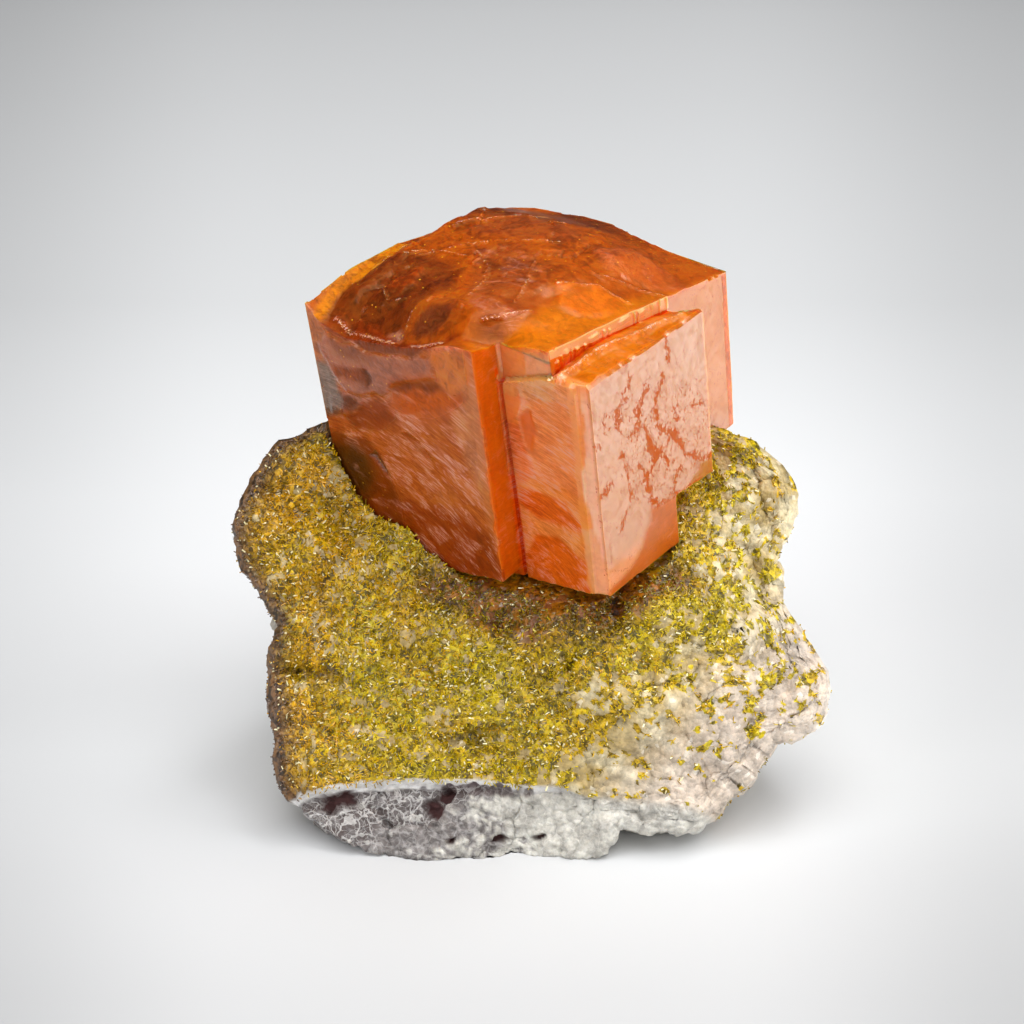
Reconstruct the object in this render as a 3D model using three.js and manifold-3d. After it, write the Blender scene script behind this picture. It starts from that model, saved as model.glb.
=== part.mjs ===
// Wulfenite on quartz: a thick, blocky wulfenite crystal group seated on a leaning wedge of
// quartz rock. A crust of fine mimetite needles covers most of the rock's sloping front.
// Millimetres, +Z up. The specimen stands on z = 0, and its front looks towards -Y.

import * as THREE from 'three';
import { mergeVertices } from 'three/addons/utils/BufferGeometryUtils.js';
import Module from 'manifold-3d';

const wasm = await Module();
wasm.setup();

const { degToRad, lerp, smoothstep } = THREE.MathUtils;

// ---- driving dimensions -------------------------------------------------------------------

const GAP = 0.3;                  // clearance between neighbouring pieces
const ORIGIN = new THREE.Vector3(0.4, 1.2, 0);   // middle of the footprint of the whole piece

// The crystal's own axes: u runs to the front right, v to the back right, w up.
const CRYSTAL_CORNER = new THREE.Vector3(-11.5, 0.5, 21.5);
const CRYSTAL_TURN = new THREE.Euler(degToRad(11.9), degToRad(1.95), degToRad(-40.5), 'ZYX');
const SLAB_U = 16.35;             // main slab across
const SLAB_V = 17.7;              // main slab, front to back
const CRYSTAL_FLOOR = -7.1;       // underside of the group
const SLAB_STEP_FLOOR = -4.4;     // raised underside at the right-hand corner
const RETURN_U = 12.7;            // where the front left face steps back
const RETURN_V = 1.65;            // by how much it steps back
const BLOCK_U = 18.9;             // front right block reaches this far
const BLOCK_V = 12.0;             // and this far back
const BLOCK_FLOOR = -3.2;         // underside of the block's overhanging part
const FOOT_V = 8.4;               // the part of the block that goes down to the foot
const GRID = 0.78;                // spacing of the points on the uneven faces

// The rock. b runs up the sloping front from the ground.
const SLOPE = degToRad(55);
const TOE_Y = -13.1;              // where the front slope would meet the ground
const CENTRE_X = 0.5;             // middle of the rock's polar grid, hidden under the crystal
const CENTRE_B = 19.0;
const ROCK_DEPTH = 17.0;          // thickness square to the slope
const SPOKES = 104;               // points around the rock
const COVER_ROWS = 12;            // rows from the centre to the edge of the covered front
const BAND_ROWS = 4;              // rows across the bare broken band outside it
const BACK_ROWS = 13;             // rows from the rim round to the back
const GRAIN = 2.7;                // size of the rounded lumps
const CRUST = 0.35;               // depth of the needle crust
const BAND_B = 4.3;               // the needle-covered layer ends this far up the slope

// ---- small tools --------------------------------------------------------------------------

/** Closed three.js geometry as a solid that can be cut and joined. */
function solidOf(geometry) {
  const bare = geometry.clone();
  bare.deleteAttribute('normal');
  bare.deleteAttribute('uv');
  const merged = mergeVertices(bare, 1e-4);
  return new wasm.Manifold(new wasm.Mesh({
    numProp: 3,
    vertProperties: new Float32Array(merged.attributes.position.array),
    triVerts: new Uint32Array(merged.index.array),
  }));
}

/** Solid as a three.js geometry with flat facets. */
function geometryOf(solid) {
  const mesh = solid.getMesh();
  const geometry = new THREE.BufferGeometry();
  geometry.setAttribute('position', new THREE.BufferAttribute(mesh.vertProperties, 3));
  geometry.setIndex(new THREE.BufferAttribute(mesh.triVerts, 1));
  geometry.computeVertexNormals();
  return geometry;
}

/** Geometry from points and a list of four-cornered faces. */
function quadGeometry(points, quads) {
  const geometry = new THREE.BufferGeometry();
  const flat = points.flatMap((p) => [p.x, p.y, p.z]);
  const index = quads.flatMap(([a, b, c, d]) => [a, b, c, a, c, d]);
  geometry.setAttribute('position', new THREE.BufferAttribute(new Float32Array(flat), 3));
  geometry.setIndex(index);
  return geometry;
}

/** Box from its two opposite corners. */
function boxBetween(low, high) {
  const size = high.map((value, axis) => value - low[axis]);
  const box = new THREE.BoxGeometry(...size);
  box.translate(...high.map((value, axis) => (value + low[axis]) / 2));
  return box;
}

/** Value between listed stations [place, value], in a straight line from one to the next. */
function along(stations, place) {
  const last = stations.length - 1;
  if (place <= stations[0][0]) return stations[0][1];
  if (place >= stations[last][0]) return stations[last][1];
  const next = stations.findIndex(([at]) => at > place);
  const [from, before] = stations[next - 1];
  const [to, after] = stations[next];
  return lerp(before, after, (place - from) / (to - from));
}

/** Repeatable value from 0 to 1 for whole numbers i and j. */
function chance(i, j, seed) {
  const wave = Math.sin(i * 127.1 + j * 311.7 + seed * 74.7) * 43758.5453;
  return wave - Math.floor(wave);
}

/** Rounded lumps side by side, 0 in the creases and up to 1 on the crowns. */
function lumps(x, y, size, seed) {
  const column = Math.floor(x / size);
  const row = Math.floor(y / size);
  let height = 0;
  for (let i = column - 1; i <= column + 1; i += 1) {
    for (let j = row - 1; j <= row + 1; j += 1) {
      const dx = x / size - i - chance(i, j, seed);
      const dy = y / size - j - chance(i, j, seed + 1);
      const crown = 0.55 + 0.45 * chance(i, j, seed + 2);
      height = Math.max(height, crown * Math.sqrt(Math.max(0, 1 - (dx * dx + dy * dy) / 0.8)));
    }
  }
  return height;
}

/** Round swelling of height 1 at its middle, fading out at its radius. */
function swell(x, y, middleX, middleY, radiusX, radiusY = radiusX) {
  const reach = ((x - middleX) / radiusX) ** 2 + ((y - middleY) / radiusY) ** 2;
  return Math.exp(-1.6 * reach);
}

// ---- wulfenite crystal --------------------------------------------------------------------

/** Grid lines from start to end, about one spacing apart, with the stops kept exactly. */
function gridLines(stops, spacing) {
  const lines = [stops[0]];
  for (let k = 1; k < stops.length; k += 1) {
    const span = stops[k] - stops[k - 1];
    const parts = Math.max(1, Math.round(span / spacing));
    for (let n = 1; n <= parts; n += 1) lines.push(stops[k - 1] + span * n / parts);
  }
  return lines;
}

/** Upright block with straight sides, whose top and underside follow two height functions. */
function unevenBlock(us, vs, topAt, floorAt) {
  const columns = us.length;
  const rows = vs.length;
  const layer = columns * rows;
  const points = [];
  for (const heightAt of [floorAt, topAt]) {
    for (const v of vs) {
      for (const u of us) points.push(new THREE.Vector3(u, v, heightAt(u, v)));
    }
  }
  const quads = [];
  for (let j = 0; j < rows - 1; j += 1) {
    for (let i = 0; i < columns - 1; i += 1) {
      const a = j * columns + i;
      const b = a + columns;
      quads.push([a, b, b + 1, a + 1]);
      quads.push([layer + a, layer + a + 1, layer + b + 1, layer + b]);
    }
  }
  const rim = [];
  for (let i = 0; i < columns - 1; i += 1) rim.push(i);
  for (let j = 0; j < rows - 1; j += 1) rim.push(j * columns + columns - 1);
  for (let i = columns - 1; i > 0; i -= 1) rim.push((rows - 1) * columns + i);
  for (let j = rows - 1; j > 0; j -= 1) rim.push(j * columns);
  rim.forEach((a, k) => {
    const b = rim[(k + 1) % rim.length];
    quads.push([a, b, layer + b, layer + a]);
  });
  return quadGeometry(points, quads);
}

// Heights of the slab's four upper edges, as [place along the edge, height].
const FRONT_EDGE = [[0, 8.3], [1, 7.35], [2.9, 6.85], [5.7, 7.2], [8.8, 7.85], [11.1, 8.7], [16.4, 9.1]];
const BACK_EDGE = [[0, 6.2], [2, 6.8], [6, 7.15], [8.2, 7.2], [12.3, 6.4], [16.4, 6.15]];
const LEFT_EDGE = [[0, 8.3], [4, 8.6], [7.9, 8.35], [11.8, 7.5], [15.8, 6.85], [17.7, 6.2]];
const RIGHT_EDGE = [[0, 9.25], [5.4, 8.5], [8.9, 7.9], [13.3, 7.0], [17.7, 6.1]];

/** Plain sheet stretched between the slab's four upper edges. */
function edgeSheet(u, v) {
  const a = u / SLAB_U;
  const b = v / SLAB_V;
  const acrossV = lerp(along(FRONT_EDGE, u), along(BACK_EDGE, u), b);
  const acrossU = lerp(along(LEFT_EDGE, v), along(RIGHT_EDGE, v), a);
  const corners = lerp(lerp(8.3, 9.1, a), lerp(6.2, 6.1, a), b);
  return acrossV + acrossU - corners;
}

/** Stepped growth layers: a soft riser wherever the line is crossed. */
function riser(distance, height) {
  return height * smoothstep(distance, -0.35, 0.35);
}

/** Top of the slab: a low dome of growth layers, with a bevel along its left edge. */
function slabTop(u, v) {
  const inset = smoothstep(u, 0, 1.7) * smoothstep(v, 0.35, 1.6);
  const far = smoothstep(SLAB_V - v, 0.2, 5.5) * smoothstep(SLAB_U - u, 0.2, 4.5);
  const dome = 1.35 * inset * far;
  const fromApex = Math.hypot(u - 1.5, (v - 15) * 0.9);
  const layers = riser(9.5 - fromApex, 0.3) + riser(6.2 - fromApex, 0.28) - riser(fromApex - 13.4, 0.3);
  const lobe = 0.45 * swell(u, v, 6.6, 4.0, 2.3, 1.5);
  const waves = 0.1 * Math.sin(1.1 * u + 0.7 * v) + 0.07 * Math.sin(2.3 * v - 1.3 * u + 1);
  const trough = -0.35 * swell(u, v, 3.4, 2.6, 2.6, 1.2) - 0.3 * swell(u, v, 11.5, 5.4, 3.4, 1.0);
  return edgeSheet(u, v) + dome + inset * (layers * far + lobe + waves + trough) - 0.1 * inset;
}

/** Underside of the slab, rising to the step in the front face. */
function crystalFloor(u) {
  return CRYSTAL_FLOOR + 0.65 * smoothstep(u, 9.0, RETURN_U);
}

/** Underside of the foot, rising to its right-hand face. */
function footFloor(u, v) {
  return CRYSTAL_FLOOR - 0.25 + Math.max(0, u - RETURN_U) * (0.2 - 0.008 * (v - RETURN_V));
}

/** Top of the front right block: a ledge with a ramp up to the slab behind it. */
function blockTop(u, v) {
  const outer = lerp(7.55, 7.1, v / BLOCK_V);
  const dipLeft = -1.3 * smoothstep(17.0 - u, 0, 4.5) * smoothstep(3.6 - v, 0, 1.9);
  const ramp = lerp(1.2, 0.25, v / BLOCK_V) * smoothstep(17.4 - u, 0, 1.0);
  const crest = 0.16 * Math.sin(2.4 * v) * smoothstep(BLOCK_U - u, 0.2, 0.8);
  return outer + ramp * smoothstep(v, 2.0, 2.6) + dipLeft + crest;
}

/** Flat outline raised to a plate, drawn across u and w and lying on a face square to v. */
function plateOnV(outline, v, thickness) {
  const shape = new THREE.Shape(outline.map(([u, w]) => new THREE.Vector2(u, w)));
  const plate = new THREE.ExtrudeGeometry(shape, { depth: thickness, bevelEnabled: false });
  plate.rotateX(Math.PI / 2);
  plate.translate(0, v + thickness / 2, 0);
  return plate;
}

/** Flat outline raised to a plate, drawn across v and w and lying on a face square to u. */
function plateOnU(outline, u, thickness) {
  const shape = new THREE.Shape(outline.map(([v, w]) => new THREE.Vector2(v, w)));
  const plate = new THREE.ExtrudeGeometry(shape, { depth: thickness, bevelEnabled: false });
  plate.applyMatrix4(new THREE.Matrix4().makeBasis(
    new THREE.Vector3(0, 1, 0),
    new THREE.Vector3(0, 0, 1),
    new THREE.Vector3(1, 0, 0),
  ));
  plate.translate(u - thickness / 2, 0, 0);
  return plate;
}

// Etched cracks of the block's right-hand face: middle across, middle up, length, width, lean.
const CRACKS = [
  [2.6, -1.3, 1.7, 0.34, 0.9],
  [5.6, -1.9, 1.9, 0.32, -0.35],
  [4.0, 3.9, 1.7, 0.3, 0.35],
  [5.2, 3.6, 2.0, 0.34, 0.2],
  [6.6, 3.4, 1.7, 0.34, 0.15],
  [5.9, 0.9, 1.8, 0.5, -0.4],
  [8.2, 1.5, 1.5, 0.62, -0.2],
  [7.1, 1.9, 0.9, 0.42, 0.7],
  [8.8, -1.2, 1.9, 0.3, 0.1],
  [10.6, -0.8, 1.7, 0.3, 1.35],
  [8.7, 6.3, 1.7, 0.24, -0.1],
  [5.4, 6.6, 1.1, 0.3, 0.2],
];

/** Thin jagged slot, as long as given, square to the right-hand face. */
function crackCut([v, w, length, width, lean]) {
  const outline = [
    [-0.5, 0], [-0.15, 0.5], [0.1, 0.25], [0.5, 0.1], [0.2, -0.4], [-0.1, -0.2],
  ].map(([a, b]) => [
    v + a * length * Math.sin(lean) + b * width * Math.cos(lean),
    w + a * length * Math.cos(lean) - b * width * Math.sin(lean),
  ]);
  return solidOf(plateOnU(outline.reverse(), BLOCK_U, 0.5));
}

/** Scalloped hollow etched into the upper left of the front left face. */
function frontHollow() {
  const outline = [
    [1.9, 3.0], [2.9, 4.5], [4.4, 4.9], [5.4, 6.0], [7.3, 6.3], [9.2, 6.2], [10.0, 5.0],
    [9.4, 3.6], [7.6, 2.9], [5.2, 2.6], [3.4, 2.2],
  ];
  return solidOf(plateOnV(outline, 0, 0.7));
}

/** Thin growth plates that stand a little proud of the two back faces. */
function backPlates() {
  const left = [[1.2, -5.2], [11.4, -5.6], [12.2, 2.4], [8.6, 6.3], [2.2, 6.9]];
  const leftUpper = [[9.8, -2.0], [16.6, -3.0], [16.9, 5.2], [12.6, 5.9]];
  const right = [[2.4, -5.0], [9.6, -4.6], [10.2, 4.8], [3.0, 5.6]];
  const rightNarrow = [[11.2, -3.6], [14.9, -3.4], [15.2, 4.6], [11.6, 4.9]];
  return [
    plateOnU(left, 0, 0.7),
    plateOnU(leftUpper, 0, 0.4),
    plateOnV(right, SLAB_V, 0.8),
    plateOnV(rightNarrow, SLAB_V, 0.5),
  ].map(solidOf);
}

/** Outline of the front right block seen from above, with its narrow bevel in front. */
function blockTrim() {
  const corner = new THREE.Shape([
    new THREE.Vector2(17.6, RETURN_V - 0.5),
    new THREE.Vector2(BLOCK_U + 1, RETURN_V - 0.5),
    new THREE.Vector2(BLOCK_U + 1, RETURN_V + 0.5),
    new THREE.Vector2(BLOCK_U, RETURN_V + 0.32),
    new THREE.Vector2(17.6, RETURN_V),
  ]);
  const bevel = new THREE.ExtrudeGeometry(corner, { depth: 20, bevelEnabled: false });
  bevel.translate(0, 0, -10);
  return solidOf(bevel);
}

/** The crystal group as one solid, in its own axes. */
function crystalSolid() {
  const slab = solidOf(unevenBlock(
    gridLines([0, RETURN_U, SLAB_U], GRID),
    gridLines([0, RETURN_V, SLAB_V], GRID),
    slabTop,
    crystalFloor,
  ));
  const block = solidOf(unevenBlock(
    gridLines([RETURN_U - 1.5, SLAB_U, BLOCK_U], GRID),
    gridLines([RETURN_V, BLOCK_V], GRID),
    blockTop,
    (u, v) => BLOCK_FLOOR + 0.12 * (FOOT_V - v),
  ));
  const foot = solidOf(unevenBlock(
    [RETURN_U - 1.5, BLOCK_U],
    [RETURN_V, 5, FOOT_V],
    () => BLOCK_FLOOR + 1.5,
    footFloor,
  ));
  const notch = solidOf(boxBetween([RETURN_U, -1, -12], [SLAB_U + 1, RETURN_V + 0.28, 12]));
  const raised = solidOf(boxBetween([11.5, 9, -12], [SLAB_U + 1, SLAB_V + 1, SLAB_STEP_FLOOR]));
  const groove = solidOf(boxBetween(
    [RETURN_U - 0.01, RETURN_V - 0.01, -12],
    [RETURN_U + 0.34, RETURN_V + 0.4, 12],
  ));
  let body = slab.subtract(notch).subtract(raised).add(block).add(foot);
  body = body.subtract(groove).subtract(blockTrim()).subtract(frontHollow());
  for (const plate of backPlates()) body = body.add(plate);
  for (const crack of CRACKS) body = body.subtract(crackCut(crack));
  return body;
}

/** Plain blocks that hold the crystal with its clearance all round, in the rock's axes. */
function crystalRoom() {
  const floor = CRYSTAL_FLOOR - 0.3;
  const blocks = [
    [[-0.35, 0, floor], [SLAB_U, SLAB_V + 0.4, 12]],
    [[RETURN_U - 1.5, RETURN_V, BLOCK_FLOOR], [BLOCK_U, BLOCK_V, 12]],
    [[RETURN_U - 1.5, RETURN_V, floor], [BLOCK_U, FOOT_V, 0]],
  ];
  const place = new THREE.Matrix4().makeRotationFromEuler(CRYSTAL_TURN).setPosition(CRYSTAL_CORNER);
  return blocks.map(([low, high]) => {
    const grown = boxBetween(low.map((value) => value - GAP), high.map((value) => value + GAP));
    return solidOf(grown.applyMatrix4(place));
  }).reduce((all, block) => all.add(block));
}

// ---- quartz matrix ------------------------------------------------------------------------

// Outline of the rock's sloping front as [x, b], counter-clockwise from the right-hand side.
const OUTLINE = [
  [14.3, 18.0], [15.5, 20.6], [15.3, 22.2], [13.1, 24.2], [11.0, 25.4], [6.0, 27.0],
  [0.0, 28.0], [-6.0, 27.4], [-11.8, 25.4], [-14.3, 24.5], [-15.5, 22.7], [-16.7, 20.3],
  [-16.6, 17.6], [-15.2, 15.9], [-14.0, 13.9], [-14.6, 12.0], [-14.2, 8.3], [-13.9, 4.4],
  [-12.4, 2.8], [-10.3, 1.3], [-7.5, 0.6], [-0.2, 0.5], [4.3, 0.7], [5.6, 2.3],
  [9.9, 2.1], [11.6, 4.4], [12.9, 5.6], [14.1, 7.5], [16.7, 8.1], [17.3, 10.0],
  [16.2, 12.2], [14.5, 15.0],
];

// Larger swellings of the sloping front: x, b, radius, height.
const SWELLINGS = [
  [13.4, 21.4, 2.4, 1.0], [10.4, 17.6, 2.8, 0.9], [16.0, 10.2, 1.9, 0.8], [7.4, 14.2, 2.5, 1.0],
  [2.1, 13.6, 2.2, 0.8], [-3.1, 8.4, 2.3, 0.7], [-11.0, 11.9, 2.8, 0.8], [-12.8, 17.8, 2.6, 0.7],
  [-7.6, 13.6, 2.8, 0.6], [6.7, 8.4, 3.0, 0.9], [2.0, 6.2, 2.2, 0.6], [11.2, 9.6, 2.5, 0.8],
  [-9.6, 7.0, 2.4, 0.6], [-13.0, 22.6, 2.2, 0.6], [12.6, 13.8, 2.0, 0.7],
];

/** Distance from the centre to the outline in the given direction. */
function outlineReach(angle) {
  const polar = OUTLINE.map(([x, b]) => {
    const turn = Math.atan2(b - CENTRE_B, x - CENTRE_X);
    return [(turn + 2 * Math.PI) % (2 * Math.PI), Math.hypot(x - CENTRE_X, b - CENTRE_B)];
  }).sort((p, q) => p[0] - q[0]);
  const first = polar[0];
  const last = polar[polar.length - 1];
  const closed = [
    [last[0] - 2 * Math.PI, last[1]],
    ...polar,
    [first[0] + 2 * Math.PI, first[1]],
  ];
  return along(closed, angle);
}

/** Share of the reach at which the covered front ends and the bare band begins. */
function coverShare(angle) {
  const downhill = Math.max(0.05, -Math.sin(angle));
  return Math.min(0.93, (CENTRE_B - BAND_B) / (downhill * outlineReach(angle)));
}

/** Place at x and b on the slope, raised by the given height square to it. */
function onSlope(x, b, height) {
  return new THREE.Vector3(
    x,
    TOE_Y + b * Math.cos(SLOPE) - height * Math.sin(SLOPE),
    b * Math.sin(SLOPE) + height * Math.cos(SLOPE),
  );
}

/** Relief of the sloping front: a broad bulge under the crystal, swellings and lumps. */
function frontHeight(x, b, share) {
  const edge = 1 - share ** 4;
  const bulge = 3.0 * swell(x, b, 4.5, 13.5, 9.5, 9.0) - 1.5 * swell(x, b, -10.2, 20.6, 3.2, 3.0);
  const swellings = SWELLINGS.reduce((sum, [cx, cb, r, h]) => sum + h * swell(x, b, cx, cb, r), 0);
  const grain = 1.3 * lumps(x, b, GRAIN, 1) + 0.4 * lumps(x, b, GRAIN * 0.5, 5);
  const band = -0.7 * smoothstep(BAND_B - b, 0, 0.5);
  return edge * bulge + 1.3 * swellings * (1 - share ** 8) + grain + band - 1.1;
}

/** Uneven broken rock: slow and quick waves through space. */
function brokenRock({ x, y, z }) {
  const slow = Math.sin(0.55 * x + 0.4 * z + 1) + Math.sin(0.5 * y - 0.6 * z + 2);
  const quick = Math.sin(1.3 * x - 1.1 * y + 0.5) + Math.sin(1.5 * z + 1.0 * x);
  return 0.45 * slow + 0.2 * quick;
}

// Flat breaks on the sides and back: direction outwards and distance from the rock's middle.
const BREAKS = [
  [0.05, 0.98, 0.18, 10.2], [-0.72, 0.66, 0.2, 13.0], [0.74, 0.62, -0.25, 14.0],
  [0.1, 0.75, -0.65, 11.4], [-0.95, 0.12, -0.28, 14.6], [0.93, 0.2, -0.3, 15.2],
];
const ROCK_MIDDLE = new THREE.Vector3(CENTRE_X, 0, 9);

/** Presses a point back towards each flat break that it stands beyond. */
function pressToBreaks(point, amount) {
  for (const [x, y, z, distance] of BREAKS) {
    const outward = new THREE.Vector3(x, y, z).normalize();
    const beyond = point.clone().sub(ROCK_MIDDLE).dot(outward) - distance;
    if (beyond > 0) point.addScaledVector(outward, -0.85 * amount * beyond);
  }
  return point;
}

/** Point of the rock: share runs 0 to 1 from the centre to the rim, then to 2 round the back. */
function rockPoint(angle, share) {
  const reach = outlineReach(angle);
  const round = Math.max(0, share - 1) * Math.PI / 2;
  const spread = share <= 1 ? share : Math.cos(round) ** 0.32;
  const x = CENTRE_X + spread * reach * Math.cos(angle);
  const rise = spread * reach * Math.sin(angle);
  const lift = 3 * Math.sin(2 * round) * Math.max(0, Math.sin(angle));
  const b = CENTRE_B + rise + lift - 5 * Math.sin(round) ** 2;
  if (share <= 1) return onSlope(x, b, frontHeight(x, b, share));
  const rim = frontHeight(x, b, 1) * (1 - smoothstep(share, 1, 1.12));
  const point = onSlope(x, b, rim - ROCK_DEPTH * Math.sin(round) ** 0.85);
  const turned = smoothstep(share, 1, 1.15);
  const outward = point.clone().sub(ROCK_MIDDLE).normalize();
  const rough = brokenRock(point) + 0.7 * lumps(x + point.y, b + point.z, 3.6, 9) - 0.4;
  return pressToBreaks(point.addScaledVector(outward, rough * turned), turned);
}

/** Rock point on a numbered row and spoke of the rock's grid. */
function gridPoint(row, spoke) {
  const angle = 2 * Math.PI * spoke / SPOKES;
  const cover = coverShare(angle);
  const frontRows = COVER_ROWS + BAND_ROWS;
  if (row < COVER_ROWS) return rockPoint(angle, cover * ((row + 1) / COVER_ROWS) ** 0.9);
  if (row < frontRows) return rockPoint(angle, lerp(cover, 1, (row + 1 - COVER_ROWS) / BAND_ROWS));
  return rockPoint(angle, 1 + (row + 1 - frontRows) / (BACK_ROWS + 1));
}

/** Rows of rock points from the centre of the front outwards. */
function rockRows(count) {
  return Array.from({ length: count }, (_, row) =>
    Array.from({ length: SPOKES }, (_point, spoke) => gridPoint(row, spoke)));
}

/** The rock's closed skin, from the centre of the front round to the middle of the back. */
function rockSkin() {
  const rows = rockRows(COVER_ROWS + BAND_ROWS + BACK_ROWS);
  const front = rockPoint(0, 0);
  const back = rockPoint(0, 2);
  const points = [front, ...rows.flat(), back];
  const at = (row, spoke) => 1 + row * SPOKES + (spoke % SPOKES);
  const quads = [];
  for (let k = 0; k < SPOKES; k += 1) {
    for (let row = 0; row < rows.length - 1; row += 1) {
      quads.push([at(row, k), at(row + 1, k), at(row + 1, k + 1), at(row, k + 1)]);
    }
  }
  const geometry = quadGeometry(points, quads);
  const index = Array.from(geometry.index.array);
  for (let k = 0; k < SPOKES; k += 1) {
    index.push(0, at(0, k), at(0, k + 1));
    index.push(points.length - 1, at(rows.length - 1, k + 1), at(rows.length - 1, k));
  }
  geometry.setIndex(index);
  return geometry;
}

// Hollows broken into the pale band along the foot: x, b, length, width, lean.
const CAVITIES = [
  [-10.9, 3.5, 1.5, 0.6, 0.2], [-9.6, 3.3, 0.9, 0.5, -0.5], [-5.4, 3.2, 0.9, 0.7, 0.6],
  [-4.6, 2.7, 0.8, 0.45, -0.7], [-7.7, 1.9, 1.0, 0.35, 0.5], [-0.9, 3.4, 1.7, 0.4, 0.05],
  [-2.3, 1.7, 0.8, 0.4, 0.9], [0.6, 1.8, 0.7, 0.35, -0.6], [3.2, 1.9, 0.8, 0.4, 0.3],
];

/** One ragged hollow, to be cut out of the skin. */
function cavityCut([x, b, length, width, lean]) {
  const hollow = new THREE.IcosahedronGeometry(1, 1);
  hollow.scale(length, width, 0.8 * width + 0.25);
  hollow.rotateZ(lean);
  hollow.rotateX(SLOPE);
  const place = onSlope(x, b, frontHeight(x, b, 0.95) - 0.05);
  hollow.translate(place.x, place.y, place.z);
  return solidOf(hollow);
}

/** The rock, cut flat where it stands and hollowed where the crystal is seated. */
function matrixSolid() {
  const ground = solidOf(boxBetween([-40, -40, -40], [40, 40, 0]));
  let rock = solidOf(rockSkin()).subtract(ground).subtract(crystalRoom());
  for (const cavity of CAVITIES) rock = rock.subtract(cavityCut(cavity));
  return rock;
}

// ---- mimetite crust -----------------------------------------------------------------------

// The needle crust lies on these spokes and rows of the rock's grid.
const CRUST_FIRST = 43;
const CRUST_LAST = 94;
const CRUST_INNER_ROW = 3;

/** Whether the needle crust covers the rock's face between this row and spoke and the next. */
function isCovered(row, spoke) {
  const last = CRUST_LAST - 0.8 * row - 2 * Math.sin(1.9 * row);
  const onSpokes = spoke >= CRUST_FIRST && spoke < last;
  return onSpokes && row >= CRUST_INNER_ROW && row < COVER_ROWS - 1;
}

/** Thin skin of needles over the front, resting just clear of the rock. */
function crustSolid() {
  const rows = rockRows(COVER_ROWS);
  const square = new THREE.Vector3(0, -Math.sin(SLOPE), Math.cos(SLOPE));
  const points = [];
  const ids = new Map();
  const at = (row, spoke, level) => {
    const key = `${row} ${spoke} ${level}`;
    if (!ids.has(key)) {
      const lift = level === 0 ? GAP : GAP + CRUST;
      ids.set(key, points.length);
      points.push(rows[row][spoke % SPOKES].clone().addScaledVector(square, lift));
    }
    return ids.get(key);
  };
  const quads = [];
  const wall = (rowA, spokeA, rowB, spokeB) => quads.push([
    at(rowA, spokeA, 0), at(rowB, spokeB, 0), at(rowB, spokeB, 1), at(rowA, spokeA, 1),
  ]);
  for (let k = CRUST_FIRST; k < CRUST_LAST; k += 1) {
    for (let row = CRUST_INNER_ROW; row < COVER_ROWS - 1; row += 1) {
      if (!isCovered(row, k)) continue;
      quads.push([at(row, k, 1), at(row + 1, k, 1), at(row + 1, k + 1, 1), at(row, k + 1, 1)]);
      quads.push([at(row, k + 1, 0), at(row + 1, k + 1, 0), at(row + 1, k, 0), at(row, k, 0)]);
      if (!isCovered(row - 1, k)) wall(row, k + 1, row, k);
      if (!isCovered(row + 1, k)) wall(row + 1, k, row + 1, k + 1);
      if (!isCovered(row, k - 1)) wall(row, k, row + 1, k);
      if (!isCovered(row, k + 1)) wall(row + 1, k + 1, row, k + 1);
    }
  }
  return solidOf(quadGeometry(points, quads)).subtract(crystalRoom());
}

// ---- the specimen -------------------------------------------------------------------------

/** Named piece with its own material. */
function piece(name, solid, colour, roughness) {
  const material = new THREE.MeshStandardMaterial({ color: colour, roughness, metalness: 0 });
  const mesh = new THREE.Mesh(geometryOf(solid), material);
  mesh.name = name;
  return mesh;
}

const group = new THREE.Group();
group.position.copy(ORIGIN).negate();

const crystal = piece('wulfenite_crystal', crystalSolid(), 0xd9641e, 0.2);
crystal.position.copy(CRYSTAL_CORNER);
crystal.rotation.copy(CRYSTAL_TURN);
group.add(crystal);

group.add(piece('quartz_matrix', matrixSolid(), 0xb7ad9c, 0.85));
group.add(piece('mimetite_crust', crustSolid(), 0x9c8f2a, 0.6));

export default group;
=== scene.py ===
import itertools
import math

import bmesh
import bpy
import numpy as np
from mathutils import Euler, Matrix, Vector


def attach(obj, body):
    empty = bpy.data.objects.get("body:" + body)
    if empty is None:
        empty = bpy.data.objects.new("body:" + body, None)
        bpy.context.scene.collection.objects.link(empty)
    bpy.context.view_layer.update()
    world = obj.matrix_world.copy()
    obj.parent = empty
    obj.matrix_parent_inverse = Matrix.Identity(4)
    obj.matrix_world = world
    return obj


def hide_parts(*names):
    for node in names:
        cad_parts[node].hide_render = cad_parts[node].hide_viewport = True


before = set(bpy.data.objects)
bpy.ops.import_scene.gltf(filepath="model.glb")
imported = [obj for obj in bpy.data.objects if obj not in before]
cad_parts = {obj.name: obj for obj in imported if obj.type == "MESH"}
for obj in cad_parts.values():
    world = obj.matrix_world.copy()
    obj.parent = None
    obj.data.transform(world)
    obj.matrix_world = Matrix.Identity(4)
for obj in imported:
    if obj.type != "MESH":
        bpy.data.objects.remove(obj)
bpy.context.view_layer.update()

# ---- camera ---------------------------------------------------------------------------------
# A long lens looks straight at the front, a little from above.

MM = 0.001                                   # one millimetre in metres
LOOK_AT = Vector((-1.1, -0.7, 15.9)) * MM    # middle of the view
CAMERA_RISE = math.radians(25)
CAMERA_DISTANCE = 119.5 * MM
LENS = 70


def in_scene(name, data):
    """New object in the scene, at the origin."""
    piece = bpy.data.objects.new(name, data)
    bpy.context.scene.collection.objects.link(piece)
    return piece


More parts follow.
